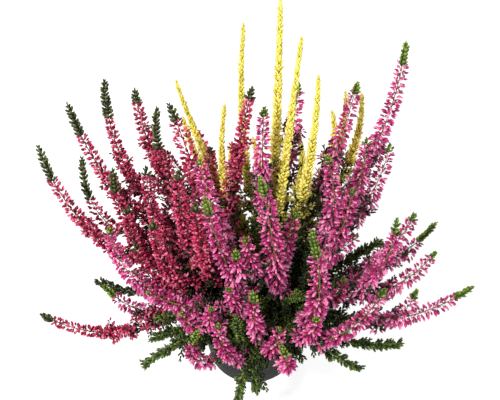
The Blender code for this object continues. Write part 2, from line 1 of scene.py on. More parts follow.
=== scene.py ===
"""Potted heather, dressed for rendering: buds, scale leaves, bark, pot and compost.

The shoots repeat the routes of the part's source, in millimetres. Every bud and leaf is a small
closed mesh set on its shoot by formula, with three numbers for its colour: "along" runs from its
base to its tip, where the colours give a painted highlight at the tip and painted shade at a leaf's
foot; "tone" is its own shade; and the third, for age and depth, runs from the foot of its shoot to
the end, low inside the plant, and sets older colours that are partly painted shade on the leaves
and painted highlight on the pink buds.
"""
import json
import math

import bmesh
import bpy
import numpy as np
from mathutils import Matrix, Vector

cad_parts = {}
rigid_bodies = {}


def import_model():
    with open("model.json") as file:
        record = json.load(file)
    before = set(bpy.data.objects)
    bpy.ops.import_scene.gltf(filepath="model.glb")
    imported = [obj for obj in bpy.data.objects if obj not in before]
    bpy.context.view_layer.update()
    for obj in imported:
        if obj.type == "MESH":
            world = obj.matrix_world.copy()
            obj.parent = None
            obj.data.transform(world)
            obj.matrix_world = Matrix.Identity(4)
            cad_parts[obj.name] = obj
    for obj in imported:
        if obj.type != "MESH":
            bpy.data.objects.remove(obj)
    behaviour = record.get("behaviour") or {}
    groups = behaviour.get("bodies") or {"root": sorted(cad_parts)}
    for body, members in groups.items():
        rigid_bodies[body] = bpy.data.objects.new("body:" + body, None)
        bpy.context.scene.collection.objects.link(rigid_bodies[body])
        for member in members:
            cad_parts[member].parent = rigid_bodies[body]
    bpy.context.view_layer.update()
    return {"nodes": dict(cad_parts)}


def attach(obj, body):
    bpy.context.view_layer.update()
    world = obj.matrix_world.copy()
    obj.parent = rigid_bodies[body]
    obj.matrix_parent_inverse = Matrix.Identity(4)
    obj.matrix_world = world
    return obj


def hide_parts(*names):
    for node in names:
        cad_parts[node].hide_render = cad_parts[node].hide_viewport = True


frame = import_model()

MM = 0.001
GAP = 0.3

# Pot
POT_HEIGHT = 96.0
POT_RIM_RADIUS = 60.0
POT_BASE_RADIUS = 42.0
POT_WALL = 1.4
POT_LIP_WIDTH = 3.0
POT_LIP_HEIGHT = 7.0
POT_SHOULDER_DROP = 16.0
POT_SHOULDER_STEP = 1.5
DRAIN_HOLES = 6
DRAIN_HOLE_RADIUS = 4.5
DRAIN_CIRCLE = 28.0

# Compost
SOIL_EDGE_DROP = 9.0
SOIL_DOME = 3.0
SOIL_ROUGHNESS = 1.2

# Leafy core of each plant, which its stems stand out of
CORE_RADIUS = 19.0
CORE_HEIGHT = 58.0
CORE_RELIEF = 4.0
CORE_ROUNDING = 1.04

# Height over the compost from which the stems spring, inside the core
ROOT_HEIGHT = 8.0

# Shoots: radius of the stalk, reach of the solids' leaves, and the leafy share of a stem
STALK_RADIUS = 1.5
STALK_TIP_RADIUS = 0.7
STEM_LEAF_REACH = 3.6
LEAFY_SHARE = 0.55
SPRIG_LEAF_REACH = 4.2

# A stem rises by this much before it leans out, and forks at this share of its length
RISE_FIRST = 0.7
FORK_SHARE = 0.6
SIDE_STALK_SHARE = 0.8

# Bending clear: spacing of the points along a shoot, spare room, and the slope along which
# neighbours part, which leaves the plant's outline from the front as it is
POINT_SPACING = 6.0
SPARE_ROOM = 1.0
RIM_ROOM = 4.2
PARTING_SLOPE = np.array((0.0, 0.669, -0.743))
ROUNDS = 400
LOOK_EVERY = 30
SMOOTHING = 2

# Crowns of the plants on the compost
CROWNS = {"crimson": (-27.0, 6.0), "pink": (16.0, -24.0), "golden": (17.0, 27.0)}

# Sprays. Each is a list of shoots, the main one first and then its side shoots. A shoot is its
# foot, its tip, the length of its green tip and the reach of its buds.
CRIMSON_SPRAYS = (
    [((-125, 0, 155), (-180, 30, 252), 32, 5)],
    [((-115, 35, 180), (-156, 60, 273), 31, 5), ((-125, 30, 145), (-153, 65, 203), 40, 5)],
    [((-105, 60, 165), (-126, 80, 281), 40, 4.5)],
    [((-90, 85, 180), (-104, 100, 253), 15, 5), ((-45, 95, 172), (-58, 112, 197), 5, 4)],
    [((-80, 60, 190), (-83, 75, 253), 42, 5.5)],
    [((-45, 20, 210), (-69, 45, 286), 16, 6.5)],
    [((-15, 35, 220), (-1, 50, 298), 10, 4.5), ((-35, 48, 178), (-37, 64, 216), 5, 5)],
    [((-78, 10, 160), (-94, 45, 211), 6, 5)],
    [((-55, -20, 190), (-61, 0, 253), 6, 5)],
    [((-65, -30, 145), (-84, -15, 208), 6, 5)],
    [((-100, 10, 155), (-121, 30, 224), 22, 5), ((-90, -5, 140), (-109, 15, 193), 6, 5)],
    [((-75, -30, 130), (-102, -10, 172), 6, 5)],
    [((-40, -35, 180), (-47, -20, 235), 6, 5)],
    [((-112, -48, 96), (-185, -50, 124), 10, 4.5)],
    [((-75, 90, 118), (-104, 104, 140), 8, 5), ((-60, 95, 120), (-88, 128, 150), 6, 5)],
    [((-30, 90, 125), (-45, 130, 150), 8, 5)],
)
PINK_SPRAYS = (
    [((8, 20, 230), (9, 35, 292), 8, 5)],
    [((-95, -30, 95), (-131, -20, 120), 14, 5)],
    [((-65, -45, 135), (-103, -35, 166), 4, 6), ((-90, -40, 145), (-121, -20, 205), 5, 5)],
    [((-45, -60, 145), (-90, -50, 157), 4, 6), ((-45, -66, 130), (-60, -71, 156), 4, 5)],
    [((34, 62, 235), (39, 77, 279), 9, 5)],
    [((20, -40, 155), (5, -35, 283), 18, 8)],
    [((70, 50, 220), (87, 65, 292), 11, 5.5)],
    [((105, 55, 220), (125, 80, 323), 21, 5.5)],
    [((85, 10, 210), (94, 30, 261), 5, 6)],
    [((98, 20, 190), (117, 45, 239), 5, 6)],
    [((64, -10, 200), (60, 5, 267), 8, 6)],
    [((46, -62, 131), (45, -60, 250), 26, 8)],
    [((25, -30, 180), (35, -20, 225), 6, 6)],
    [((-11, -55, 168), (-38, -40, 266), 16, 6)],
    [((-25, -25, 205), (-43, -10, 276), 4, 6)],
    [((0, -50, 195), (-7, -50, 229), 5, 5), ((-10, -60, 200), (-14, -60, 226), 10, 4)],
    [((-12, -70, 165), (-20, -75, 196), 4, 5), ((-30, -75, 145), (-34, -80, 176), 4, 5)],
    [((-15, -90, 120), (-29, -95, 173), 4, 5), ((-40, -80, 95), (-46, -85, 150), 20, 4)],
    [((3, -80, 145), (0, -80, 197), 10, 5), ((12, -80, 120), (22, -85, 154), 4, 6),
     ((27, -90, 108), (23, -95, 145), 14, 5), ((40, -75, 128), (52, -80, 162), 5, 5)],
    [((98, -40, 158), (118, -25, 223), 14, 4)],
    [((100, -10, 135), (138, 0, 201), 8, 5.5)],
    [((135, 20, 120), (166, 30, 154), 25, 5)],
    [((120, -30, 136), (160, -10, 162), 8, 6)],
    [((118, -55, 123), (190, -40, 151), 18, 5), ((125, -55, 130), (142, -40, 147), 8, 4)],
    [((60, -80, 130), (108, -70, 188), 8, 6)],
    [((70, -20, 190), (81, -5, 237), 5, 6), ((60, -30, 173), (88, -15, 191), 5, 5),
     ((65, -45, 142), (77, -40, 164), 4, 5)],
    [((88, 80, 115), (104, 110, 142), 8, 6), ((68, 95, 112), (74, 122, 140), 8, 6)],
)
GOLDEN_SPRAYS = (
    [((-30, 55, 178), (-67, 95, 269), 0, 3), ((-45, 80, 170), (-63, 100, 220), 0, 3)],
    [((-19, 28, 172), (-24, 65, 267), 0, 3.2), ((-17, 45, 182), (-19, 70, 218), 0, 3)],
    [((-3, 50, 175), (-8, 100, 325), 0, 3.2)],
    [((19, 40, 188), (22, 95, 353), 0, 3.8)],
    [((22, 20, 177), (39, 75, 331), 0, 3.5)],
    [((42, 20, 197), (53, 55, 308), 0, 3.5)],
    [((70, 70, 195), (70, 90, 238), 0, 3), ((77, 75, 203), (81, 95, 255), 0, 3)],
    [((85, 60, 200), (94, 85, 262), 0, 3.2)],
    [((10, 90, 130), (0, 130, 165), 0, 3.2), ((40, 90, 130), (44, 132, 170), 0, 3.2)],
)

# Leafy sprigs without flowers, joined to their plant: foot and tip
LEAFY_SPRIGS = {
    "crimson": (
        ((-110, -5, 97), (-145, 0, 108)),
        ((-60, -14, 112), (-84, -18, 102)),
    ),
    "pink": (
        ((-50, -58, 106), (-100, -66, 66)),
        ((-48, -36, 108), (-88, -38, 102)),
        ((-47, -48, 106), (-93, -52, 88)),
        ((-9, -80, 132), (-13, -85, 169)),
        ((-3, -85, 109), (-13, -92, 51)),
        ((3, -82, 114), (4, -95, 67)),
        ((86, -65, 104), (135, -55, 86)),
        ((64, -74, 106), (96, -76, 76)),
        ((66, 0, 119), (118, 20, 141)),
        ((20, -58, 112), (30, -78, 98)),
        ((-18, -56, 112), (-26, -76, 98)),
        ((42, -50, 112), (56, -68, 98)),
        ((-36, -46, 112), (-50, -62, 100)),
        ((4, -60, 114), (8, -80, 96)),
        ((60, -34, 112), (78, -48, 100)),
    ),
    "golden": (),
}

# Short leafy sprigs that fill each plant's outer side, fanned about its outward bearing
FAN_BEARINGS = (-52.0, -12.0, 10.0, 31.0, 52.0)
FAN_REACHES = (40.0, 50.0)
FAN_RISES = (56.0, 30.0)


def soil_height(radius):
    """Height of the compost's smooth surface at a distance from the middle."""
    edge = POT_HEIGHT - SOIL_EDGE_DROP
    return edge + SOIL_DOME * (1.0 - (radius / POT_RIM_RADIUS) ** 2)


def pot_radius(height):
    """Outer radius of the pot's wall at a height."""
    return POT_BASE_RADIUS + (POT_RIM_RADIUS - POT_LIP_WIDTH - POT_BASE_RADIUS) * height / POT_HEIGHT


def unit(vector):
    return vector / np.linalg.norm(vector)


def hermite(start, start_slope, end, end_slope, count):
    """Points along a cubic from one end to the other, without the last."""
    t = (np.arange(count) / count)[:, None]
    return ((2 * t**3 - 3 * t**2 + 1) * start + (t**3 - 2 * t**2 + t) * start_slope
            + (3 * t**2 - 2 * t**3) * end + (t**3 - t**2) * end_slope)


def route(start, heading, foot, tip):
    """Centre line from a start through the foot to the tip, and the index of the foot in it."""
    start, foot, tip = (np.array(p, float) for p in (start, foot, tip))
    lower = np.linalg.norm(foot - start)
    upper = np.linalg.norm(tip - foot)
    turn = unit(unit(foot - start) + unit(tip - foot))
    low_count = max(2, round(lower / POINT_SPACING))
    high_count = max(3, round(upper / POINT_SPACING))
    low_part = hermite(start, heading * lower, foot, turn * lower, low_count)
    high_part = hermite(foot, turn * upper, tip, 2 * (tip - foot) - turn * upper, high_count)
    return np.vstack((low_part, high_part, tip)), low_count


def swell(u):
    """How full a flower head is along its length, from its foot at 0 to its end at 1."""
    return np.clip(np.minimum(0.6 + 3.5 * u, 1.25 - 0.5 * u), 0, 1)


class Shoot:
    """One shoot: its centre line, where its parts begin, and how far its leaves or buds reach."""

    def __init__(self, plant, body, kind, start, heading, foot, tip, green_tip, reach):
        self.plant, self.body, self.kind = plant, body, kind
        self.green_tip, self.reach = green_tip, reach
        self.points, self.foot = route(start, heading, foot, tip)
        self.joint = self.foot
        self.parent = None

    def widths(self):
        """Outer radius at each point, for bending clear."""
        wide = np.full(len(self.points), STEM_LEAF_REACH)
        wide[: int(self.foot * (1 - LEAFY_SHARE))] = STALK_RADIUS
        span = np.linspace(0, 1, len(wide) - self.foot)
        wide[self.foot:] = self.reach * swell(span)
        if self.kind == "sprig":
            wide[:] = SPRIG_LEAF_REACH
        return wide


def stem_heading(root, foot):
    """A stem rises first, then leans out towards its foot."""
    away = unit(np.array(foot, float) - root)
    return unit(away + np.array((0.0, 0.0, RISE_FIRST)))


def fan_sprigs(plant):
    """Feet and tips of a plant's short sprigs, high and low in turn."""
    x, y = CROWNS[plant]
    outward = math.atan2(y, x)
    sprigs = []
    for k, turn in enumerate(FAN_BEARINGS):
        bearing = outward + math.radians(turn)
        reach, rise = FAN_REACHES[k % 2], FAN_RISES[k % 2]
        way = np.array((math.cos(bearing), math.sin(bearing)))
        base = soil_height(0) + ROOT_HEIGHT
        foot = (x + way[0] * reach * 0.5, y + way[1] * reach * 0.5, base + rise * 0.6)
        tip = (x + way[0] * reach, y + way[1] * reach, base + rise)
        sprigs.append((foot, tip))
    return tuple(sprigs)


def plant_shoots():
    """Every shoot of the three plants, in its first place."""
    shoots = []
    tables = {"crimson": CRIMSON_SPRAYS, "pink": PINK_SPRAYS, "golden": GOLDEN_SPRAYS}
    for plant, sprays in tables.items():
        root = np.array((*CROWNS[plant], soil_height(0) + ROOT_HEIGHT))
        word = "shoot" if plant == "golden" else "spray"
        for number, spray in enumerate(sprays, 1):
            body = f"{plant}_{word}_{number:02d}"
            foot, tip, green_tip, reach = spray[0]
            main = Shoot(plant, body, "spray", root, stem_heading(root, foot),
                         foot, tip, green_tip, reach)
            shoots.append(main)
            for foot, tip, green_tip, reach in spray[1:]:
                main.joint = int(main.foot * FORK_SHARE)
                start = main.points[main.joint + 1]
                side = Shoot(plant, body, "side", start, unit(np.array(foot, float) - start),
                             foot, tip, green_tip, reach)
                side.parent = main
                shoots.append(side)
        for foot, tip in LEAFY_SPRIGS[plant] + fan_sprigs(plant):
            shoots.append(Shoot(plant, plant + "_stems", "sprig", root, stem_heading(root, foot),
                                foot, tip, 0, SPRIG_LEAF_REACH))
    return shoots


def core_points(plant):
    """Points and radii that stand for a plant's core when shoots are bent clear of it."""
    heights = np.linspace(0.0, CORE_HEIGHT * 0.75, 5)
    base = soil_height(0)
    points = np.array([(*CROWNS[plant], base + h) for h in heights])
    radii = (CORE_RADIUS + CORE_RELIEF) * np.sqrt(1 - (heights / (CORE_HEIGHT * CORE_ROUNDING)) ** 2)
    return points, radii


def push_from_pot(points, widths):
    """Steps that lift points off the compost and the rim, or move them out past the wall."""
    step = np.zeros_like(points)
    radius = np.hypot(points[:, 0], points[:, 1])
    outward = points[:, :2] / np.maximum(radius, GAP)[:, None]
    room = widths + SPARE_ROOM
    sink = soil_height(0) + room - points[:, 2]
    over_soil = radius < POT_RIM_RADIUS - POT_LIP_WIDTH
    inside = over_soil & (sink > 0)
    step[inside, 2] += sink[inside]
    rim_mid = POT_RIM_RADIUS - POT_LIP_WIDTH / 2
    rim_offset = np.stack((radius - rim_mid, points[:, 2] - (POT_HEIGHT - POT_LIP_HEIGHT / 2)), 1)
    distance = np.linalg.norm(rim_offset, axis=1)
    short = room + RIM_ROOM - distance
    near = short > 0
    way = rim_offset[near] / distance[near, None]
    step[near, :2] += outward[near] * (way[:, :1] * short[near, None])
    step[near, 2] += way[:, 1] * short[near]
    wall = pot_radius(points[:, 2]) + room - radius
    beside = ~over_soil & (points[:, 2] < POT_HEIGHT - POT_LIP_HEIGHT) & (wall > 0)
    step[beside, :2] += outward[beside] * wall[beside, None]
    return step


def point_bodies(shoots, names):
    """Which body and which shoot each point belongs to. A stem's points are its plant's stems."""
    bodies, owners = [], []
    for index, s in enumerate(shoots):
        own = np.full(len(s.points), names.index(s.body))
        if s.kind == "spray":
            own[:s.joint] = names.index(s.plant + "_stems")
        bodies.append(own)
        owners.append(np.full(len(s.points), index))
    return np.concatenate(bodies), np.concatenate(owners)


def part_neighbours(place, wide, a, b):
    """How far each point moves along the parting slope to leave its neighbours room."""
    apart = place[b] - place[a]
    squared = np.sum(apart * apart, axis=1)
    along = apart @ PARTING_SLOPE
    need = wide[a] + wide[b] + SPARE_ROOM
    hit = squared < need**2
    gap = np.sqrt(np.maximum(need**2 - squared + along**2, 0)) - np.abs(along)
    move = np.where(hit, gap, 0) * 0.5 * np.where(along >= 0, 1, -1)
    push = np.zeros(len(place))
    count = np.zeros(len(place))
    np.add.at(push, b, move)
    np.add.at(push, a, -move)
    np.add.at(count, a, hit)
    np.add.at(count, b, hit)
    return push / np.maximum(count, 1)


def bend_clear(shoots):
    """Bend the shoots smoothly for a set number of rounds, pushing apart the bodies that touch."""
    first = np.cumsum([0] + [len(s.points) for s in shoots])
    home = np.vstack([s.points for s in shoots])
    widths = np.concatenate([s.widths() for s in shoots])
    names = sorted({s.body for s in shoots} | {plant + "_stems" for plant in CROWNS})
    bodies, owners = point_bodies(shoots, names)
    for plant in CROWNS:
        points, radii = core_points(plant)
        bodies = np.append(bodies, np.full(len(points), names.index(plant + "_stems")))
        owners = np.append(owners, np.full(len(points), -1))
        widths = np.append(widths, radii)
        home = np.vstack((home, points))
    moving = first[-1]
    in_core = np.linalg.norm(home[:moving] - home[first[owners[:moving]]], axis=1) < ROOT_HEIGHT
    in_core &= np.array([s.parent is None for s in shoots])[owners[:moving]]
    shift = np.zeros_like(home)
    for turn in range(ROUNDS):
        place = home + shift
        if turn % LOOK_EVERY == 0:
            a, b = near_pairs(place, bodies, owners, 2 * widths.max() + 2 * POINT_SPACING)
        push = part_neighbours(place, widths, a, b)
        shift[:moving] += push[:moving, None] * PARTING_SLOPE
        lift = push_from_pot((home + shift)[:moving], widths[:moving])
        lift[in_core] = 0
        shift[:moving] += lift
        smooth_along(shift, shoots, first)
    for s, start in zip(shoots, first):
        s.points = (home + shift)[start:start + len(s.points)]


def near_pairs(place, bodies, owners, reach):
    """Index pairs of points of different bodies and shoots that are within reach."""
    a_list, b_list = [], []
    for i in range(len(place) - 1):
        away = place[i + 1:] - place[i]
        close = (np.sum(away * away, axis=1) < reach * reach) & (bodies[i + 1:] != bodies[i])
        close &= owners[i + 1:] != owners[i]
        j = np.nonzero(close)[0] + i + 1
        a_list.append(np.full(len(j), i))
        b_list.append(j)
    return np.concatenate(a_list), np.concatenate(b_list)


def smooth_along(shift, shoots, first):
    """Spread each push along its shoot. A stem's root stays, and a side shoot follows its parent."""
    for s, start in zip(shoots, first):
        part = shift[start:start + len(s.points)]
        if s.parent is None:
            part[0] = 0
        else:
            parent = first[shoots.index(s.parent)] + s.parent.joint + 1
            part[0] = shift[parent]
        for _ in range(SMOOTHING):
            part[1:-1] = part[1:-1] * 0.5 + (part[:-2] + part[2:]) * 0.25
            part[-1] = part[-1] * 0.75 + part[-2] * 0.25


def lengths_along(points):
    """Distance of each point of a centre line from its start."""
    return np.concatenate(([0], np.cumsum(np.linalg.norm(np.diff(points, axis=0), axis=1))))


# Templates: rings of a small closed form along its axis, as (place along, radius)
BUD_RINGS = ((0.17, 0.3), (0.46, 1.0), (0.8, 0.8))
NECK_BUD_RINGS = ((0.3, 0.17), (0.54, 0.94), (0.83, 0.82))
SMALL_BUD_RINGS = ((0.36, 0.9), (0.78, 0.85))
SMALL_NECK_BUD_RINGS = ((0.3, 0.25), (0.68, 1.0))
LEAF_RINGS = ((0.25, 0.85), (0.76, 0.95))
CRUMB_RINGS = ((0.25, 0.9), (0.7, 1.0))
BUD_SIDES = 5
LEAF_SIDES = 4
NEEDLE_SIDES = 3
STALK_TUBE_SIDES = 6


def template(ring_table, sides):
    """A closed spindle from z 0 to z 1: its points, the points of its faces, and their counts."""
    points = [(0.0, 0.0, 0.0)]
    for place, radius in ring_table:
        for k in range(sides):
            turn = 2 * math.pi * k / sides
            points.append((radius * math.cos(turn), radius * math.sin(turn), place))
    points.append((0.0, 0.0, 1.0))
    loops, totals = [], []
    last = len(points) - 1
    for k in range(sides):
        j = (k + 1) % sides
        loops += [0, 1 + j, 1 + k]
        totals.append(3)
        for ring in range(len(ring_table) - 1):
            a = 1 + ring * sides
            loops += [a + k, a + j, a + sides + j, a + sides + k]
            totals.append(4)
        a = 1 + (len(ring_table) - 1) * sides
        loops += [a + k, a + j, last]
        totals.append(3)
    return np.array(points), np.array(loops), np.array(totals)


TEMPLATES = {
    "bud": template(BUD_RINGS, BUD_SIDES),
    "neck_bud": template(NECK_BUD_RINGS, BUD_SIDES),
    "side_bud": template(SMALL_BUD_RINGS, LEAF_SIDES),
    "side_neck_bud": template(SMALL_NECK_BUD_RINGS, LEAF_SIDES),
    "needle": template(LEAF_RINGS, NEEDLE_SIDES),
    "leaf": template(LEAF_RINGS, LEAF_SIDES),
    "crumb": template(CRUMB_RINGS, BUD_SIDES),
}


class Gather:
    """Meshes gathered for one piece: points, faces, and the three colour numbers of each point."""

    def __init__(self):
        self.points, self.loops, self.totals, self.marks = [], [], [], []
        self.count = 0

    def add(self, points, loops, totals, marks):
        self.points.append(points)
        self.loops.append(loops + self.count)
        self.totals.append(totals)
        self.marks.append(marks)
        self.count += len(points)

    def add_organs(self, kind, base, axis, length, width, thick, bend, tone, age_and_depth):
        """One copy of a template for each row. bend is how far its tip is moved."""
        shape, loops, totals = TEMPLATES[kind]
        across = np.cross(axis, (0.13, 0.31, 0.94))
        across /= np.linalg.norm(across, axis=1)[:, None]
        deep = np.cross(axis, across)
        along = shape[:, 2]
        points = (base[:, None, :]
                  + axis[:, None, :] * (along * length[:, None])[:, :, None]
                  + across[:, None, :] * (shape[:, 0] * width[:, None])[:, :, None]
                  + deep[:, None, :] * (shape[:, 1] * thick[:, None])[:, :, None]
                  + bend[:, None, :] * (along**2)[None, :, None])
        rows = len(base)
        marks = np.stack((np.tile(along, rows), np.repeat(tone, len(shape)),
                          np.repeat(age_and_depth, len(shape))), 1)
        step = np.arange(rows)[:, None] * len(shape)
        self.add(points.reshape(-1, 3), (loops[None, :] + step).ravel(), np.tile(totals, rows), marks)

    def add_tube(self, centres, radii, tone, sides=STALK_TUBE_SIDES):
        """A closed tube along a centre line."""
        rows = len(centres)
        _, across, deep = frames(centres)
        turn = 2 * np.pi * np.arange(sides) / sides
        ring = (across[:, None, :] * np.cos(turn)[None, :, None]
                + deep[:, None, :] * np.sin(turn)[None, :, None])
        points = (centres[:, None, :] + ring * radii[:, None, None]).reshape(-1, 3)
        loops, totals = [], []
        for i in range(rows - 1):
            for k in range(sides):
                j = (k + 1) % sides
                a, b = i * sides, (i + 1) * sides
                loops += [a + k, a + j, b + j, b + k]
                totals.append(4)
        loops += list(range(sides))[::-1]
        loops += list(range((rows - 1) * sides, rows * sides))
        totals += [sides, sides]
        place = np.repeat(np.linspace(0, 1, rows), sides)
        marks = np.stack((place, np.full(len(points), tone), place), 1)
        self.add(points, np.array(loops), np.array(totals), marks)

    def make(self, name, material, slot, nodes):
        """The piece itself, riding on the root body in place of the named nodes."""
        mesh = bpy.data.meshes.new(name)
        points = np.concatenate(self.points) * MM
        loops = np.concatenate(self.loops)
        totals = np.concatenate(self.totals)
        mesh.vertices.add(len(points))
        mesh.vertices.foreach_set("co", points.ravel())
        mesh.loops.add(len(loops))
        mesh.loops.foreach_set("vertex_index", loops)
        mesh.polygons.add(len(totals))
        mesh.polygons.foreach_set("loop_start", np.concatenate(([0], np.cumsum(totals)[:-1])))
        mesh.update(calc_edges=True)
        marks = np.concatenate(self.marks)
        for k, mark in enumerate(("along", "tone", "age_and_depth")):
            mesh.attributes.new(mark, "FLOAT", "POINT").data.foreach_set("value", marks[:, k])
        mesh.materials.append(material)
        mesh.shade_smooth()
        piece = bpy.data.objects.new(name, mesh)
        bpy.context.scene.collection.objects.link(piece)
        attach(piece, "root")
        if nodes:
            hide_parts(*nodes)


def frames(centres):
    """Tangent and two directions across it at each point of a centre line."""
    tangent = np.gradient(centres, axis=0)
    tangent /= np.linalg.norm(tangent, axis=1)[:, None]
    across = np.cross((0.0, 1.0, 0.05), tangent)
    across /= np.linalg.norm(across, axis=1)[:, None]
    return tangent, across, np.cross(tangent, across)


class Line:
    """A centre line that can be asked for its place and frame at a length along it."""

    def __init__(self, points):
        self.points = points
        self.along = lengths_along(points)
        self.total = self.along[-1]
        self.frames = frames(points)

    def at(self, lengths):
        place = [np.interp(lengths, self.along, self.points[:, k]) for k in range(3)]
        parts = [np.stack(place, 1)]
        for field in self.frames:
            part = np.stack([np.interp(lengths, self.along, field[:, k]) for k in range(3)], 1)
            parts.append(part / np.linalg.norm(part, axis=1)[:, None])
        return parts


# How each plant flowers: distance between nodes, clusters round a node and buds in a cluster, a
# bud's length and radius, and its lean from the stalk in degrees at the foot and at the end
FLOWERS = {
    "crimson": {"kind": "bud", "pitch": 2.7, "clusters": 2, "fan": 3, "length": 6.0, "radius": 1.6,
                "lean": (90.0, 68.0), "wobble": 13.0, "bend": 0.12, "spread": 1.6},
    "pink": {"kind": "neck_bud", "pitch": 2.7, "clusters": 3, "fan": 2, "length": 9.0, "radius": 1.55,
             "lean": (118.0, 52.0), "wobble": 16.0, "bend": -0.18, "spread": 1.5},
}

# Leaves: template, distance between nodes, leaves round a node, length, radius and lean in degrees
LEAF_FIELDS = ("kind", "pitch", "around", "length", "radius", "lean")
LEAF_ROWS = {
    "crimson_tip": ("leaf", 2.0, 2, 6.0, 1.9, 50.0),
    "pink_tip": ("leaf", 1.8, 2, 5.4, 1.75, 46.0),
    "golden": ("leaf", 1.9, 4, 5.6, 1.35, 50.0),
    "golden_twig": ("needle", 2.5, 3, 5.4, 1.5, 48.0),
    "stem": ("needle", 2.8, 2, 5.4, 1.2, 50.0),
    "sprig": ("needle", 2.0, 2, 6.0, 1.7, 56.0),
    "core": ("needle", 2.8, 3, 5.2, 1.45, 50.0),
    "twig": ("needle", 2.8, 2, 5.6, 1.5, 50.0),
    "sprig_twig": ("needle", 2.3, 2, 5.4, 1.6, 46.0),
}
LEAVES = {name: dict(zip(LEAF_FIELDS, row)) for name, row in LEAF_ROWS.items()}

# How unevenly buds sit: shift along the stalk, turns round it, sizes, room and flatness
BUD_SHIFT = 0.4
BUD_FAN_TURN = 0.6
BUD_TURN = 0.2
BUD_NODE_TWIST = 0.06
BUD_FOOT_SIZE = 1.05
BUD_SHRINK = 0.35
BUD_SIZES = (0.82, 1.12)
BUD_WIDTHS = (0.85, 1.1)
BUD_ROOM = 0.35
BUD_INSETS = (0.25, 1.0)
BUD_FLATNESS = 0.85

# The same for leaves, with how they close and shrink towards the shoot's end and curl along it
LEAF_SHIFT = 0.15
LEAF_TURN = 0.12
LEAF_NODE_TWIST = 0.03
LEAF_CLOSING = 0.45
LEAF_SHRINK = 0.4
LEAF_WOBBLE = 6.0
LEAF_SIZES = (0.85, 1.12)
LEAF_END_SIZE = 0.6
LEAF_INSET = 0.3
LEAF_CURL = 0.16
LEAF_FLATNESS = 0.75

# Short side twigs on the stems: flowering ones from a share of the stem up, leafy ones below it
TWIGS = {
    "crimson": {"start": 0.34, "pitch": 5.0, "length": 18.0, "up": 0.3, "leafy": 0.7},
    "pink": {"start": 0.74, "pitch": 7.5, "length": 14.0, "up": 0.1, "leafy": 1.0},
    "golden": {"start": 0.4, "pitch": 7.5, "length": 17.0, "up": 0.16, "leafy": 1.0},
}
LEAFY_TWIG_START = 0.14
LEAFY_TWIG_PITCH = 5.6
LEAFY_TWIG_LENGTH = 17.0
SPRIG_TWIG_PITCH = 3.2
SPRIG_TWIG_LENGTH = 12.0
SPRIG_TWIG_LEAN = 34.0
LUMP_SPACING = 7.0
SMALL_REACH = 4.0
SIDE_BUD_REACH = 3.6
END_LENGTH = 7.0
TWIG_LEAN = 48.0
TWIG_RISE = 0.25
TWIG_POINTS = 6
TWIG_SIDES = 4
SKIRT_PITCH = 6.0
SKIRT_INNER = 40.0
SKIRT_OUTER = 92.0
SKIRT_TOP = 132.0
SKIRT_REACH = (9.0, 17.0)
SKIRT_DROP = (4.0, 16.0)
CORE_TWIGS = 70
FRINGE_TWIGS = {"crimson": 14, "pink": 32, "golden": 8}
FRINGE_BEARINGS = {"crimson": (130.0, 250.0), "pink": (-130.0, 50.0), "golden": (50.0, 130.0)}
FRINGE_START = 30.0
FRINGE_RIM_HEIGHT = (4.0, 16.0)
FRINGE_REACH = (10.0, 26.0)
FRINGE_DROP = (4.0, 26.0)
FRINGE_POINTS = 8
STALK_SHARE = 0.75
STALK_END = 1.0

# Seeds of the random draws
SPRAY_SEED = 1000
STEM_SEED = 2000
CRUMB_SEED = 3000

# Bark of the side twigs: radius at the foot and at the end, and how young its colour is
TWIG_BARK = {
    "sprig_twig": (0.45, 0.25, 0.5),
    "twig": (0.5, 0.3, 0.2),
    "flowering": (0.55, 0.25, 0.6),
    "core": (0.7, 0.35, 0.0),
    "fringe": (0.8, 0.35, 0.2),
}
TWIG_BARE_FOOT = 1.0
TWIG_BARE_END = 0.3

# The stock's heights over the compost, and its radius at each
STOCK_HEIGHTS = (-10.0, -3.0, 4.0, 10.0, 14.0)
STOCK_RADII = (6.0, 6.4, 6.2, 5.0, 3.0)

# Short twigs of the core, and the turn from each to the next
CORE_TWIG_START = 7.0
GOLDEN_ANGLE = math.radians(137.508)


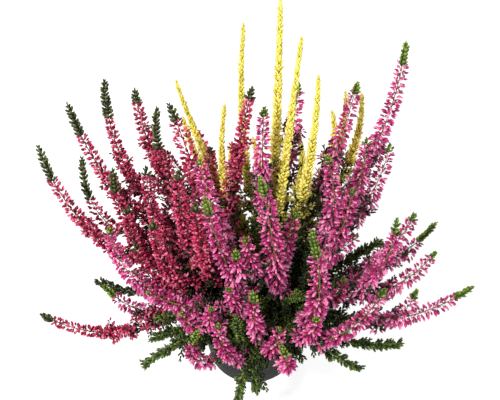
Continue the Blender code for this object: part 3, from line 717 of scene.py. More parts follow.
def add_flowers(gather, rng, line, start, end, reach, look, age_and_depth_range, fan=None):
    """Buds in clusters round a stalk between two lengths along it."""
    nodes = np.arange(start, end, look["pitch"])
    fan = fan or look["fan"]
    per_node = look["clusters"] * fan
    index = np.repeat(np.arange(len(nodes)), per_node)
    s = nodes[index] + rng.normal(0, BUD_SHIFT, len(index))
    span = np.clip((s - start) / max(end - start, 1), 0, 1)
    cluster = np.tile(np.repeat(np.arange(look["clusters"]), fan), len(nodes))
    member = np.tile(np.arange(fan) - (fan - 1) / 2, len(nodes) * look["clusters"])
    turn = index * math.pi / look["clusters"] + cluster * 2 * math.pi / look["clusters"]
    turn = turn + member * BUD_FAN_TURN + rng.normal(0, BUD_TURN, len(index)) + index * BUD_NODE_TWIST
    low, high = look["lean"]
    lean = np.radians(low + (high - low) * span + rng.normal(0, look["wobble"], len(index)))
    centre, tangent, across, deep = line.at(s)
    out = across * np.cos(turn)[:, None] + deep * np.sin(turn)[:, None]
    axis = out * np.sin(lean)[:, None] + tangent * np.cos(lean)[:, None]
    size = (BUD_FOOT_SIZE - BUD_SHRINK * span) * rng.uniform(*BUD_SIZES, len(index))
    length = look["length"] * size
    wide = reach * look["spread"] * swell(span)
    room = np.maximum(wide - length * np.sin(lean), BUD_ROOM)
    base = centre + out * (room * rng.uniform(*BUD_INSETS, len(index)))[:, None]
    radius = look["radius"] * size * rng.uniform(*BUD_WIDTHS, len(index))
    bend = np.zeros_like(axis)
    bend[:, 2] = look["bend"] * length
    # Grows from the foot of the shoot to its end: low buds get older colours, partly older buds and partly
    # painted light, darker on crimson ones as painted shade and paler on pink ones as painted highlight.
    age_and_depth = age_and_depth_range[0] + (age_and_depth_range[1] - age_and_depth_range[0]) * span
    tone = rng.uniform(0, 1, len(index))
    kind = "side_" + look["kind"] if fan < look["fan"] or reach < SMALL_REACH else look["kind"]
    gather.add_organs(kind, base, axis, length, radius, radius * BUD_FLATNESS, bend, tone, age_and_depth)


def add_leaves(gather, rng, line, start, end, look, age_and_depth_range, taper=0.0, size=1.0, lumps=0.0):
    """Leaves in pairs or threes up a stalk, each node turned between the leaves of the last."""
    nodes = np.arange(start, end, look["pitch"])
    if len(nodes) == 0:
        return
    index = np.repeat(np.arange(len(nodes)), look["around"])
    s = nodes[index] + rng.normal(0, LEAF_SHIFT, len(index))
    span = np.clip((s - start) / max(end - start, 1), 0, 1)
    step = np.tile(np.arange(look["around"]), len(nodes))
    turn = index * math.pi / look["around"] + step * 2 * math.pi / look["around"]
    turn = turn + rng.normal(0, LEAF_TURN, len(index)) + index * LEAF_NODE_TWIST
    near_end = np.clip((end - s) / END_LENGTH, 0, 1)
    lean = look["lean"] * (1 - LEAF_CLOSING * taper * span) * (0.45 + 0.55 * near_end)
    lean = np.radians(lean + rng.normal(0, LEAF_WOBBLE, len(index)))
    centre, tangent, across, deep = line.at(s)
    out = across * np.cos(turn)[:, None] + deep * np.sin(turn)[:, None]
    axis = out * np.sin(lean)[:, None] + tangent * np.cos(lean)[:, None]
    scale = size * (1 - LEAF_SHRINK * taper * span) * rng.uniform(*LEAF_SIZES, len(index))
    scale = scale * (LEAF_END_SIZE + 0.4 * near_end)
    scale = scale * (1 + lumps * np.sin(s * 2 * math.pi / LUMP_SPACING))
    length = look["length"] * scale
    radius = look["radius"] * scale
    base = centre + out * LEAF_INSET
    bend = tangent * (length * LEAF_CURL)[:, None]
    # Grows from the foot of the shoot to its end: low, inner leaves get darker colours, partly older leaves
    # and partly painted shade.
    age_and_depth = age_and_depth_range[0] + (age_and_depth_range[1] - age_and_depth_range[0]) * span
    tone = rng.uniform(0, 1, len(index))
    gather.add_organs(look["kind"], base, axis, length, radius, radius * LEAF_FLATNESS, bend, tone, age_and_depth)


def twig_lines(rng, line, start, end, pitch, length, shorten=0.0, slant=TWIG_LEAN):
    """Centre lines of short side twigs that lean out from a stem and turn up."""
    lines = []
    places = np.arange(start, end, pitch)
    for k, s in enumerate(places):
        centre, tangent, across, deep = (part[0] for part in line.at(np.array([s])))
        turn = k * GOLDEN_ANGLE + rng.uniform(-0.3, 0.3)
        lean = math.radians(slant + rng.uniform(-10, 10))
        out = across * math.cos(turn) + deep * math.sin(turn)
        way = out * math.sin(lean) + tangent * math.cos(lean)
        reach = length * rng.uniform(0.7, 1.15) * (1 - shorten * (s - start) / max(end - start, 1))
        u = np.linspace(0, 1, TWIG_POINTS)[:, None]
        rise = np.array((0.0, 0.0, TWIG_RISE * reach))
        lines.append(Line(centre + way * reach * u + rise * u**2))
    return lines


def skirt_lines(rng, line, start, end):
    """Centre lines of leafy twigs that hang outward where a stem lies low over the pot's rim."""
    lines = []
    for s in np.arange(start, end, SKIRT_PITCH):
        centre = line.at(np.array([s]))[0][0]
        radius = math.hypot(centre[0], centre[1])
        if radius < SKIRT_INNER or radius > SKIRT_OUTER or centre[2] > SKIRT_TOP:
            continue
        bearing = math.atan2(centre[1], centre[0]) + rng.uniform(-0.9, 0.9)
        drop = rng.uniform(*SKIRT_DROP)
        way = np.array((math.cos(bearing), math.sin(bearing), 0.25)) * rng.uniform(*SKIRT_REACH)
        u = np.linspace(0, 1, TWIG_POINTS)[:, None]
        lines.append(Line(centre + way * u + np.array((0.0, 0.0, -drop)) * u**2))
    return lines


def fringe_lines(rng, plant):
    """Centre lines of leafy shoots that rise from a plant's core and hang out over the pot's rim."""
    lines = []
    first_bearing, last_bearing = FRINGE_BEARINGS[plant]
    count = FRINGE_TWIGS[plant]
    for k in range(count):
        bearing = first_bearing + (last_bearing - first_bearing) * (k + rng.uniform(0.1, 0.9)) / count
        turn = math.radians(bearing)
        way = np.array((math.cos(turn), math.sin(turn), 0.0))
        over = POT_HEIGHT + rng.uniform(*FRINGE_RIM_HEIGHT)
        reach, drop = rng.uniform(*FRINGE_REACH), rng.uniform(*FRINGE_DROP)
        start = way * FRINGE_START + (0.0, 0.0, over - 6)
        crest = way * (POT_RIM_RADIUS - 2) + (0.0, 0.0, over + 6)
        end = way * (POT_RIM_RADIUS + reach) + (0.0, 0.0, over - drop)
        u = np.linspace(0, 1, FRINGE_POINTS)[:, None]
        lines.append(Line(start * (1 - u) ** 2 + crest * 2 * u * (1 - u) + end * u**2))
    return lines


def core_lines(rng, plant):
    """Centre lines of the short leafy twigs that make up a plant's core."""
    x, y = CROWNS[plant]
    base = soil_height(0)
    lines = []
    for k in range(CORE_TWIGS):
        share = (k + 0.5) / CORE_TWIGS
        turn = k * GOLDEN_ANGLE
        height = CORE_HEIGHT * share
        dome = CORE_RADIUS * math.sqrt(1 - (height / (CORE_HEIGHT * CORE_ROUNDING)) ** 2)
        radius = dome + CORE_RELIEF * rng.uniform(0.2, 1.0)
        way = np.array((math.cos(turn), math.sin(turn), 0.0))
        middle = np.array((x, y, base))
        first = middle + way * CORE_TWIG_START * (1 - share) + (0, 0, height * 0.6)
        last = middle + way * radius + (0, 0, min(height + 6, CORE_HEIGHT))
        u = np.linspace(0, 1, TWIG_POINTS)[:, None]
        lines.append(Line(first + (last - first) * u + np.array((0, 0, -3.0)) * u * (1 - u)))
    return lines


def stalk_radii(shoot, line, start, end, count):
    """Radius of a stalk at evenly spaced places between two lengths along it."""
    s = np.linspace(start, end, count)
    radii = STALK_SHARE * (STALK_RADIUS + (STALK_TIP_RADIUS * 0.6 - STALK_RADIUS) * s / line.total)
    if shoot.kind == "side":
        radii = radii * SIDE_STALK_SHARE * 0.8
    return s, radii


def add_stalk(gather, shoot, line, start, end, tone):
    count = max(4, int((end - start) / 5))
    s, radii = stalk_radii(shoot, line, start, end, count)
    gather.add_tube(line.at(s)[0], radii, tone)


def add_twig(bark, twig, kind, step=2):
    """A twig's bark: a thin tube through every second point, that ends among its last leaves."""
    low, high, tone = TWIG_BARK[kind]
    centres = twig.points[:-1:step]
    bark.add_tube(centres, np.linspace(low, high, len(centres)), tone, TWIG_SIDES)


def add_leafy_twig(bark, leaves, rng, twig, kind, age_and_depth_range, taper):
    """A twig's bark, and leaves nearly all along it."""
    add_twig(bark, twig, kind)
    add_leaves(leaves, rng, twig, TWIG_BARE_FOOT, twig.total - TWIG_BARE_END, LEAVES[kind],
               age_and_depth_range, taper=taper)


def srgb(red, green, blue):
    """A colour of 0 to 255 parts as linear light."""
    parts = []
    for part in (red, green, blue):
        value = part / 255
        parts.append(value / 12.92 if value <= 0.04045 else ((value + 0.055) / 1.055) ** 2.4)
    return (*parts, 1.0)


class Nodes:
    """Short calls for building a material's node tree."""

    def __init__(self, name):
        self.material = bpy.data.materials.new(name)
        self.material.use_nodes = True
        self.tree = self.material.node_tree
        self.shader = self.tree.nodes["Principled BSDF"]

    def node(self, kind, **values):
        node = self.tree.nodes.new(kind)
        for key, value in values.items():
            if hasattr(node, key):
                setattr(node, key, value)
            else:
                node.inputs[key.replace("_", " ")].default_value = value
        return node

    def link(self, source, target):
        self.tree.links.new(source, target)

    def mark(self, name):
        return self.node("ShaderNodeAttribute", attribute_name=name).outputs["Fac"]

    def ramp(self, factor, stops):
        ramp = self.node("ShaderNodeValToRGB")
        elements = ramp.color_ramp.elements
        while len(elements) < len(stops):
            elements.new(0.5)
        for element, (place, colour) in zip(elements, stops):
            element.position = place
            element.color = colour
        self.link(factor, ramp.inputs["Fac"])
        return ramp.outputs["Color"]

    def mix(self, kind, factor, a, b):
        node = self.tree.nodes.new("ShaderNodeMix")
        node.data_type = "RGBA"
        node.blend_type = kind
        sockets = {s.identifier: s for s in node.inputs}
        for value, key in ((factor, "Factor_Float"), (a, "A_Color"), (b, "B_Color")):
            if isinstance(value, (float, tuple)):
                sockets[key].default_value = value
            else:
                self.link(value, sockets[key])
        outputs = {s.identifier: s for s in node.outputs}
        return outputs["Result_Color"]

    def place(self):
        return self.node("ShaderNodeTexCoord").outputs["Object"]

    def noise(self, scale, detail=3.0, roughness=0.55):
        noise = self.node("ShaderNodeTexNoise", Scale=scale, Detail=detail, Roughness=roughness)
        self.link(self.place(), noise.inputs["Vector"])
        return noise.outputs["Fac"]

    def bump(self, height, strength, distance):
        bump = self.node("ShaderNodeBump", Strength=strength, Distance=distance)
        self.link(height, bump.inputs["Height"])
        self.link(bump.outputs["Normal"], self.shader.inputs["Normal"])

    def set(self, **values):
        for key, value in values.items():
            self.shader.inputs[key.replace("_", " ")].default_value = value


def grey(value):
    return (value, value, value, 1.0)


def organ_material(name, fresh_with_painted_light, aged_with_painted_light, ageing_and_painted_light_span, tones, painted_highlight, roughness, sheen):
    """Buds or leaves: colours along each one, with a painted highlight at the tip and, on leaves, painted
    shade at the foot; other colours low down, partly older growth and partly painted light; its own tone;
    and a fine mottle.

    The pale tint is a painted highlight that the lightest ones turn to; the two numbers after it say how
    far they do, and how far the ones low down do, also as painted highlight.
    """
    n = Nodes(name)
    along, tone, age_and_depth = n.mark("along"), n.mark("tone"), n.mark("age_and_depth")
    # Colours along each one: a painted highlight at its tip and, on leaves, painted shade at its foot.
    newer_with_painted_light = n.ramp(along, fresh_with_painted_light)
    older_with_painted_light = n.ramp(along, aged_with_painted_light)
    # Lower down the shoot and inside the plant they turn to the other colours: partly older growth and
    # partly painted light, as painted shade on leaves and crimson buds and as painted highlight on pink
    # buds.
    share = n.ramp(age_and_depth, ((ageing_and_painted_light_span[0], grey(0.0)), (ageing_and_painted_light_span[1], grey(1.0))))
    colour = n.mix("MIX", share, older_with_painted_light, newer_with_painted_light)
    colour = n.mix("MULTIPLY", 1.0, colour, n.ramp(tone, [(place, grey(v)) for place, v in tones]))
    # The lightest ones turn to a pale tint: painted highlight.
    highlight_tint, highlight_share, low_highlight_share = painted_highlight
    lightest_highlight = n.ramp(tone, ((0.7, grey(0.0)), (0.95, grey(highlight_share))))
    colour = n.mix("MIX", lightest_highlight, colour, highlight_tint)
    # Some of the ones low down also turn to the pale tint: painted highlight.
    low_down_share = n.ramp(age_and_depth, ((0.1, grey(low_highlight_share)), (0.45, grey(0.0))))
    low_down_highlight = n.mix("MULTIPLY", 1.0, low_down_share, n.ramp(tone, ((0.4, grey(0.0)), (0.6, grey(1.0)))))
    colour = n.mix("MIX", low_down_highlight, colour, highlight_tint)
    mottle = n.noise(1400.0)
    colour = n.mix("MULTIPLY", 0.5, colour, n.ramp(mottle, ((0.3, grey(0.7)), (0.7, grey(1.2)))))
    n.link(colour, n.shader.inputs["Base Color"])
    n.bump(n.noise(2600.0), 0.25, 0.0002)
    n.set(Roughness=roughness, Sheen_Weight=sheen, Specular_IOR_Level=0.28)
    return n.material


def bark_material(name, wood, young):
    """Stalks: grained brown wood low down that turns to the young stalk's colour."""
    n = Nodes(name)
    grain = n.noise(900.0, 5.0)
    low = n.ramp(grain, ((0.3, wood[0]), (0.7, wood[1])))
    high = n.ramp(grain, ((0.3, young[0]), (0.7, young[1])))
    share = n.ramp(n.mark("tone"), ((0.0, grey(0.0)), (1.0, grey(1.0))))
    n.link(n.mix("MIX", share, low, high), n.shader.inputs["Base Color"])
    n.bump(grain, 0.5, 0.0004)
    n.set(Roughness=0.75)
    return n.material


BUD_TONES = ((0.0, 0.3), (0.3, 0.7), (0.75, 1.12), (1.0, 1.5))
LEAF_TONES = ((0.0, 0.5), (0.6, 0.95), (1.0, 1.35))
GOLDEN_TONES = ((0.0, 0.8), (0.6, 1.04), (1.0, 1.2))
MATERIALS = {
    # Crimson buds: brownish foot, crimson body and a pale tip that is painted highlight; lower down a
    # little darker, partly older buds and partly painted shade; the lightest turn pale pink as painted
    # highlight.
    "crimson_bud": organ_material(
        "crimson_bud",
        ((0.0, srgb(90, 56, 40)), (0.2, srgb(150, 12, 56)), (0.5, srgb(206, 18, 82)),
         (0.85, srgb(220, 56, 114)), (1.0, srgb(242, 164, 190))),
        ((0.0, srgb(70, 44, 32)), (0.2, srgb(134, 10, 46)), (0.5, srgb(184, 12, 64)),
         (0.85, srgb(204, 40, 96)), (1.0, srgb(236, 146, 172))),
        (0.2, 0.9), BUD_TONES, (srgb(242, 164, 192), 0.5, 0.25), 0.5, 0.03),
    # Pink buds: greenish foot, magenta body and a pale tip that is painted highlight; lower down paler, as
    # painted highlight; the lightest turn pale pink as painted highlight.
    "pink_bud": organ_material(
        "pink_bud",
        ((0.0, srgb(120, 124, 60)), (0.3, srgb(170, 70, 90)), (0.42, srgb(196, 20, 108)),
         (0.8, srgb(214, 48, 138)), (1.0, srgb(246, 176, 214))),
        ((0.0, srgb(120, 120, 66)), (0.3, srgb(190, 110, 140)), (0.42, srgb(204, 36, 122)),
         (0.8, srgb(222, 80, 154)), (1.0, srgb(250, 206, 228))),
        (0.25, 0.7), BUD_TONES, (srgb(246, 196, 220), 0.42, 0.45), 0.45, 0.03),
    # Dark green leaves: painted shade at each leaf's foot and painted highlight at its tip; much darker low
    # down and in the core, partly older leaves and partly painted shade; the lightest turn paler as painted
    # highlight.
    "crimson_leaf": organ_material(
        "crimson_leaf",
        ((0.0, srgb(24, 34, 14)), (0.5, srgb(52, 70, 28)), (1.0, srgb(108, 118, 62))),
        ((0.0, srgb(12, 18, 8)), (0.5, srgb(24, 36, 15)), (1.0, srgb(54, 66, 30))),
        (0.3, 0.8), LEAF_TONES, (srgb(104, 116, 60), 0.2, 0.0), 0.55, 0.05),
    # Yellow-green leaves: painted shade at each leaf's foot and painted highlight at its tip; much darker
    # low down and in the core, partly older leaves and partly painted shade; the lightest turn paler as
    # painted highlight.
    "pink_leaf": organ_material(
        "pink_leaf",
        ((0.0, srgb(42, 66, 12)), (0.5, srgb(84, 122, 28)), (1.0, srgb(152, 178, 62))),
        ((0.0, srgb(10, 17, 7)), (0.5, srgb(24, 38, 14)), (1.0, srgb(58, 74, 30))),
        (0.3, 0.95), LEAF_TONES, (srgb(150, 180, 70), 0.2, 0.0), 0.5, 0.05),
    # Golden leaves: painted shade at each leaf's foot and a pale painted highlight at its tip; olive and
    # darker low down, partly older green growth and partly painted shade; the lightest turn pale as painted
    # highlight.
    "golden_leaf": organ_material(
        "golden_leaf",
        ((0.0, srgb(212, 184, 26)), (0.4, srgb(244, 226, 50)), (1.0, srgb(255, 248, 150))),
        ((0.0, srgb(40, 48, 14)), (0.5, srgb(88, 94, 24)), (1.0, srgb(160, 158, 50))),
        (0.1, 0.36), GOLDEN_TONES, (srgb(253, 246, 170), 0.35, 0.0), 0.5, 0.05),
    "crimson_bark": bark_material("crimson_bark", (srgb(38, 27, 22), srgb(78, 56, 42)),
                                  (srgb(70, 48, 34), srgb(104, 74, 52))),
    "pink_bark": bark_material("pink_bark", (srgb(42, 32, 22), srgb(84, 68, 46)),
                               (srgb(96, 92, 40), srgb(146, 138, 70))),
    "golden_bark": bark_material("golden_bark", (srgb(46, 38, 24), srgb(92, 78, 48)),
                                 (srgb(150, 124, 60), srgb(190, 168, 90))),
}


def dress_sprays(shoots, lines):
    """Each spray's buds, leaves and stalk, as pieces that stand for its node."""
    bodies = sorted({s.body for s in shoots if s.kind == "spray"})
    for number, body in enumerate(bodies):
        rng = np.random.default_rng(SPRAY_SEED + number)
        flowers, stalks, leaves = Gather(), Gather(), Gather()
        for shoot, line in zip(shoots, lines):
            if shoot.body != body:
                continue
            start = 0.0 if shoot.kind == "side" else line.along[shoot.joint]
            foot = line.along[shoot.foot]
            head = line.total - shoot.green_tip
            plant = shoot.plant
            low = foot / line.total if shoot.kind == "spray" else 0.5
            add_stalk(stalks, shoot, line, start, line.total - STALK_END, 1.0)
            if plant == "golden":
                add_leaves(leaves, rng, line, start + 1, foot, LEAVES["stem"], (0.3, low))
                add_leaves(leaves, rng, line, foot, line.total - 0.5, LEAVES["golden"], (low, 1.0),
                           taper=1.1, size=shoot.reach / 2.7, lumps=0.1)
                continue
            add_leaves(leaves, rng, line, start + 1, foot, LEAVES["stem"], (0.3, 0.5))
            add_flowers(flowers, rng, line, foot - 3, head, shoot.reach, FLOWERS[plant], (0.3, 1.0))
            add_leaves(leaves, rng, line, head - 1, line.total - 0.5, LEAVES[plant + "_tip"],
                       (0.8, 1.0), taper=0.5)
        plant = body.split("_")[0]
        leaf_slot = "golden_leaves" if plant == "golden" else plant + "_stems"
        if plant != "golden":
            flowers.make(body + "_flowers", MATERIALS[plant + "_bud"], plant + "_flowers", [body])
        leaves.make(body + "_leaves", MATERIALS[plant + "_leaf"], leaf_slot, [body])
        stalks.make(body + "_stalk", MATERIALS[plant + "_bark"], plant + "_stems", [body])


def dress_sprig(bark, sprigs, rng, line, leafy):
    """A sprig without flowers: its leaves, its side twigs and the twigs that hang over the rim."""
    add_leaves(sprigs, rng, line, leafy * 0.6, line.total - 0.5, LEAVES["sprig"], (0.4, 0.85),
               taper=0.4)
    for twig in twig_lines(rng, line, leafy * 0.5, line.total - 6, SPRIG_TWIG_PITCH,
                           SPRIG_TWIG_LENGTH, 0.4, SPRIG_TWIG_LEAN):
        add_leafy_twig(bark, sprigs, rng, twig, "sprig_twig", (0.35, 0.75), 0.4)
    for twig in skirt_lines(rng, line, leafy * 0.5, line.total - 4):
        add_leafy_twig(bark, sprigs, rng, twig, "twig", (0.0, 0.5), 0.5)


def dress_stem(bark, leaves, buds, rng, plant, shoot, line):
    """A stem's leaves and its side twigs: hanging, leafy, and flowering or golden ones."""
    end, foot = line.along[shoot.joint], line.along[shoot.foot]
    leafy = foot * (1 - LEAFY_SHARE)
    add_leaves(leaves, rng, line, leafy, end, LEAVES["stem"], (0.1, 0.45))
    for twig in skirt_lines(rng, line, leafy * 0.5, foot):
        add_leafy_twig(bark, leaves, rng, twig, "twig", (0.0, 0.5), 0.5)
    settings = TWIGS[plant]
    for twig in twig_lines(rng, line, foot * LEAFY_TWIG_START, foot * settings["leafy"],
                           LEAFY_TWIG_PITCH, LEAFY_TWIG_LENGTH):
        add_leafy_twig(bark, leaves, rng, twig, "twig", (0.0, 0.3), 0.5)
    last = foot + (line.total - foot) * settings["up"]
    for twig in twig_lines(rng, line, foot * settings["start"], last, settings["pitch"],
                           settings["length"], 0.35):
        add_twig(bark, twig, "flowering")
        if plant == "golden":
            add_leaves(leaves, rng, twig, 0.5, twig.total - TWIG_BARE_END, LEAVES["golden_twig"],
                       (0.1, 0.45), taper=0.8, size=0.9)
            continue
        add_flowers(buds, rng, twig, twig.total * 0.3, twig.total - 1, SIDE_BUD_REACH,
                    FLOWERS[plant], (0.0, 0.5), fan=2)
        add_leaves(leaves, rng, twig, twig.total * 0.1, twig.total * 0.35, LEAVES["stem"], (0.1, 0.4))


def dress_core(bark, leaves, sprigs, rng, plant):
    """The short twigs of a plant's core, and the leafy shoots that hang from it over the rim."""
    for twig in core_lines(rng, plant):
        add_twig(bark, twig, "core")
        add_leaves(leaves, rng, twig, twig.total * 0.35, twig.total - TWIG_BARE_END,
                   LEAVES["core"], (0.0, 0.35), taper=0.6)
    for twig in fringe_lines(rng, plant):
        add_twig(bark, twig, "fringe", step=1)
        add_leaves(sprigs, rng, twig, twig.total * 0.3, twig.total - TWIG_BARE_END,
                   LEAVES["sprig"], (0.1, 0.7), taper=0.4)
        for small in twig_lines(rng, twig, twig.total * 0.4, twig.total - 5, SPRIG_TWIG_PITCH,
                                SPRIG_TWIG_LENGTH, 0.3, SPRIG_TWIG_LEAN):
            add_leafy_twig(bark, sprigs, rng, small, "sprig_twig", (0.05, 0.55), 0.4)


def dress_stems(shoots, lines):
    """Each plant's stems, core and sprigs: bark, leaves and the buds of its short side twigs."""
    for number, (plant, (x, y)) in enumerate(CROWNS.items()):
        rng = np.random.default_rng(STEM_SEED + number)
        node = plant + "_stems"
        bark, leaves, sprigs, buds = Gather(), Gather(), Gather(), Gather()
        stock = np.array([(x, y, soil_height(0) + h) for h in STOCK_HEIGHTS])
        bark.add_tube(stock, np.array(STOCK_RADII), 0.0)
        for shoot, line in zip(shoots, lines):
            if shoot.plant != plant or shoot.kind == "side":
                continue
            if shoot.kind == "sprig":
                add_stalk(bark, shoot, line, 0.0, line.total - STALK_END, 0.35)
                dress_sprig(bark, sprigs, rng, line, line.along[shoot.foot] * (1 - LEAFY_SHARE))
            else:
                add_stalk(bark, shoot, line, 0.0, line.along[shoot.joint], 0.35)
                dress_stem(bark, leaves, buds, rng, plant, shoot, line)
        dress_core(bark, leaves, sprigs, rng, plant)
        bark.make(plant + "_wood", MATERIALS[plant + "_bark"], node, [node])
        leaves.make(plant + "_foliage", MATERIALS[plant + "_leaf"], node, [node])
        sprigs.make(plant + "_sprigs", MATERIALS[plant + "_leaf"], node, [node])
        if plant != "golden":
            buds.make(plant + "_side_buds", MATERIALS[plant + "_bud"], plant + "_flowers", [node])


# Pot and compost in fine detail
FINE_TURN_STEPS = 120
FINE_HOLE_SIDES = 32
CRUMBS = 500
CRUMB_LENGTHS = (2.0, 5.0)


def ringed_mesh(name, profile, steps):
    """A mesh turned round the Z axis from a profile whose two ends are on the axis."""
    points, faces = [(0.0, 0.0, profile[0][1] * MM)], []
    for radius, height in profile[1:-1]:
        for k in range(steps):
            turn = 2 * math.pi * k / steps
            points.append((radius * math.cos(turn) * MM, radius * math.sin(turn) * MM, height * MM))
    points.append((0.0, 0.0, profile[-1][1] * MM))
    last = len(points) - 1
    rows = len(profile) - 2
    for k in range(steps):
        j = (k + 1) % steps
        faces.append((0, 1 + k, 1 + j))
        for row in range(rows - 1):
            a, b = 1 + row * steps, 1 + (row + 1) * steps
            faces.append((a + k, b + k, b + j, a + j))
        a = 1 + (rows - 1) * steps
        faces.append((last, a + j, a + k))
    mesh = bpy.data.meshes.new(name)
    mesh.from_pydata(points, [], faces)
    bm = bmesh.new()
    bm.from_mesh(mesh)
    bmesh.ops.recalc_face_normals(bm, faces=bm.faces)
    bm.to_mesh(mesh)
    bm.free()
    return mesh


def arc(centre, radius, first, last, count):
    """Profile points round a centre, from one angle in degrees to another."""
    points = []
    for angle in np.radians(np.linspace(first, last, count)):
        points.append((centre[0] + radius * math.cos(angle), centre[1] + radius * math.sin(angle)))
    return points


def pot_profile():
    """The pot's outline from the middle of its floor, up inside, over the lip and down outside."""
    shoulder = POT_HEIGHT - POT_SHOULDER_DROP
    wall_top = POT_RIM_RADIUS - POT_LIP_WIDTH
    below = pot_radius(shoulder) - POT_SHOULDER_STEP
    inside = [(0.0, POT_WALL), (POT_BASE_RADIUS - POT_WALL - 1, POT_WALL),
              (POT_BASE_RADIUS - POT_WALL, POT_WALL + 1), (below - POT_WALL, shoulder - 3),
              (below - POT_WALL + 0.4, shoulder - 1), (wall_top - POT_WALL, shoulder + 1)]
    for share in (0.2, 0.5, 0.8):
        height = shoulder + 1 + (POT_HEIGHT - shoulder - 2) * share
        inside.append((wall_top - POT_WALL, height))
    lip = arc((wall_top - POT_WALL + 0.8, POT_HEIGHT - 0.8), 0.8, 180, 90, 5)
    lip += arc((POT_RIM_RADIUS - 1.2, POT_HEIGHT - 1.2), 1.2, 90, 0, 6)
    lip += arc((POT_RIM_RADIUS - 0.7, POT_HEIGHT - POT_LIP_HEIGHT + 0.7), 0.7, 0, -90, 5)
    outside = [(wall_top + 0.4, POT_HEIGHT - POT_LIP_HEIGHT), (wall_top, POT_HEIGHT - POT_LIP_HEIGHT - 0.5),
               (wall_top, shoulder), (wall_top - 0.5, shoulder - 1), (below, shoulder - 3)]
    for share in (0.25, 0.5, 0.75):
        height = (shoulder - 3) * (1 - share) + share
        outside.append((below + (POT_BASE_RADIUS + 0.4 - below) * share, height))
    foot = arc((POT_BASE_RADIUS - 0.8, 1.1), 1.1, 0, -90, 6)
    return inside + lip + outside + foot + [(0.0, 0.0)]


def dress_pot():
    """The pot with a rounded lip and foot and round drain holes."""
    shell = bpy.data.objects.new("pot_shell", ringed_mesh("pot_shell", pot_profile(), FINE_TURN_STEPS))
    bpy.context.scene.collection.objects.link(shell)
    drills = []
    for k in range(DRAIN_HOLES):
        turn = 2 * math.pi * k / DRAIN_HOLES
        side = [(0.0, -4.0), (DRAIN_HOLE_RADIUS, -4.0), (DRAIN_HOLE_RADIUS, 4.0), (0.0, 4.0)]
        drill = bpy.data.objects.new("drill", ringed_mesh("drill", side, FINE_HOLE_SIDES))
        drill.location = (DRAIN_CIRCLE * MM * math.cos(turn), DRAIN_CIRCLE * MM * math.sin(turn), 0)
        bpy.context.scene.collection.objects.link(drill)
        cut = shell.modifiers.new("drain", "BOOLEAN")
        cut.operation = "DIFFERENCE"
        cut.object = drill
        drills.append(drill)
    bpy.context.view_layer.update()
    graph = bpy.context.evaluated_depsgraph_get()
    mesh = bpy.data.meshes.new_from_object(shell.evaluated_get(graph))
    for obj in [shell] + drills:
        bpy.data.objects.remove(obj, do_unlink=True)
    mesh.materials.clear()
    mesh.materials.append(pot_material())
    mesh.shade_smooth()
    mesh.set_sharp_from_angle(angle=math.radians(40))
    piece = bpy.data.objects.new("nursery_pot", mesh)
    bpy.context.scene.collection.objects.link(piece)
    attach(piece, "root")
    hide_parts("pot")


def pot_material():
    """Thin black plastic, a little dusty and scuffed."""
    n = Nodes("black_plastic")
    cloud = n.noise(40.0, 5.0)
    scuff = n.noise(420.0, 6.0, 0.7)
    colour = n.ramp(cloud, ((0.3, srgb(20, 21, 24)), (0.7, srgb(29, 31, 35))))
    marks = n.ramp(scuff, ((0.62, grey(0.0)), (0.75, grey(0.35))))
    n.link(n.mix("MIX", marks, colour, srgb(62, 64, 66)), n.shader.inputs["Base Color"])
    n.link(n.ramp(cloud, ((0.3, grey(0.6)), (0.7, grey(0.78)))), n.shader.inputs["Roughness"])
    n.bump(n.noise(1800.0, 2.0), 0.15, 0.0002)
    n.set(Specular_IOR_Level=0.22)
    return n.material


def soil_material(name, damp, dry):
    """Peat compost: damp brown with drier crumbs, rough all over."""
    n = Nodes(name)
    grain = n.noise(350.0, 8.0, 0.7)
    n.link(n.ramp(grain, ((0.35, damp), (0.68, dry))), n.shader.inputs["Base Color"])
    n.bump(grain, 0.9, 0.0015)
    n.set(Roughness=0.95)
    return n.material


def dress_soil():
    """The CAD root ball in a compost material, with loose crumbs on top."""
    soil = frame["nodes"]["soil"]
    earth = soil_material("compost", srgb(30, 22, 16), srgb(78, 58, 42))
    for slot in soil.material_slots:
        slot.material = earth
    rng = np.random.default_rng(CRUMB_SEED)
    crumbs = Gather()
    edge = POT_RIM_RADIUS - POT_LIP_WIDTH - POT_WALL - 4
    radius = edge * np.sqrt(rng.uniform(0, 1, CRUMBS))
    turn = rng.uniform(0, 2 * math.pi, CRUMBS)
    x, y = radius * np.cos(turn), radius * np.sin(turn)
    swell_up = SOIL_ROUGHNESS * np.sin(0.31 * x + 1.0) * np.cos(0.27 * y - 0.4 * x)
    base = np.stack((x, y, soil_height(radius) + swell_up - 0.8), 1)
    axis = rng.normal(0, 1, (CRUMBS, 3)) * (1, 1, 0.4)
    axis /= np.linalg.norm(axis, axis=1)[:, None]
    length = rng.uniform(*CRUMB_LENGTHS, CRUMBS)
    wide = length * rng.uniform(0.3, 0.5, CRUMBS)
    still = np.zeros((CRUMBS, 3))
    tone = rng.uniform(0, 1, CRUMBS)
    crumbs.add_organs("crumb", base, axis, length, wide, wide * 0.8, still, tone, tone)
    loose = soil_material("compost_crumbs", srgb(36, 26, 18), srgb(94, 70, 50))
    crumbs.make("compost_crumbs", loose, "soil", [])


# Camera: 48 degrees above level, 0.85 m from the point at the middle of the view
CAMERA_ELEVATION = math.radians(48.0)
CAMERA_DISTANCE = 0.85
CAMERA_TARGET = Vector((-0.0026, 0.0, 0.219))
CAMERA_LENS = 72.828
FLOOR_SIZE = 6.0

# Brightness of the studio round the horizon and overhead, by the height of the direction
SKY = ((0.06, 1.0), (0.26, 0.5), (0.5, 0.14))

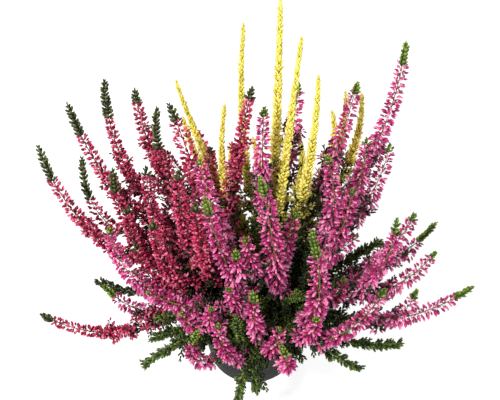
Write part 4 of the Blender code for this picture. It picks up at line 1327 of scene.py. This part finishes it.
# Lights, all aimed at the middle of the plants: place, size, power and colour
LIGHT_TARGET = Vector((0.0, 0.0, 0.15))
LIGHTS = {
    "key": ((-0.7, -0.9, 1.7), 0.3, 33.0, (1.0, 0.98, 0.95)),
    "fill": ((1.2, -0.7, 1.0), 1.0, 4.0, (0.96, 0.98, 1.0)),
    "back": ((0.2, 1.3, 1.2), 1.0, 6.0, (1.0, 1.0, 1.0)),
}


def make_camera():
    data = bpy.data.cameras.new("camera")
    data.lens = CAMERA_LENS
    data.sensor_width = 36.0
    data.clip_start = 0.01
    data.clip_end = 20.0
    camera = bpy.data.objects.new("camera", data)
    back = Vector((0.0, -math.cos(CAMERA_ELEVATION), math.sin(CAMERA_ELEVATION)))
    camera.location = CAMERA_TARGET + back * CAMERA_DISTANCE
    camera.rotation_euler = (math.pi / 2 - CAMERA_ELEVATION, 0.0, 0.0)
    bpy.context.scene.collection.objects.link(camera)
    bpy.context.scene.camera = camera


def make_floor():
    mesh = bpy.data.meshes.new("floor")
    half = FLOOR_SIZE / 2
    mesh.from_pydata([(-half, -half, 0), (half, -half, 0), (half, half, 0), (-half, half, 0)], [],
                     [(0, 1, 2, 3)])
    n = Nodes("floor")
    n.link(n.ramp(n.noise(3.0), ((0.3, grey(0.5)), (0.7, grey(0.54)))), n.shader.inputs["Base Color"])
    n.set(Roughness=0.9, Emission_Color=grey(1.0), Emission_Strength=0.8)
    mesh.materials.append(n.material)
    floor = bpy.data.objects.new("floor", mesh)
    bpy.context.scene.collection.objects.link(floor)


def area_light(name, place, size, power, colour):
    data = bpy.data.lights.new(name, "AREA")
    data.shape = "DISK"
    data.size = size
    data.energy = power
    data.color = colour
    light = bpy.data.objects.new(name, data)
    light.location = place
    light.rotation_euler = (LIGHT_TARGET - Vector(place)).to_track_quat("-Z", "Y").to_euler()
    bpy.context.scene.collection.objects.link(light)


def make_light():
    world = bpy.data.worlds.new("studio")
    bpy.context.scene.world = world
    world.use_nodes = True
    tree = world.node_tree
    coordinate = tree.nodes.new("ShaderNodeTexCoord")
    split = tree.nodes.new("ShaderNodeSeparateXYZ")
    ramp = tree.nodes.new("ShaderNodeValToRGB")
    ramp.color_ramp.elements.new(0.5)
    for element, (place, value) in zip(ramp.color_ramp.elements, SKY):
        element.position = place
        element.color = grey(value)
    tree.links.new(coordinate.outputs["Generated"], split.inputs["Vector"])
    tree.links.new(split.outputs["Z"], ramp.inputs["Fac"])
    tree.links.new(ramp.outputs["Color"], tree.nodes["Background"].inputs["Color"])
    for name, settings in LIGHTS.items():
        area_light(name, *settings)


def main():
    make_camera()
    make_floor()
    make_light()
    shoots = plant_shoots()
    bend_clear(shoots)
    lines = [Line(s.points) for s in shoots]
    dress_sprays(shoots, lines)
    dress_stems(shoots, lines)
    dress_pot()
    dress_soil()
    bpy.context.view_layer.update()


bpy.context.scene.view_settings.view_transform = "Standard"
main()
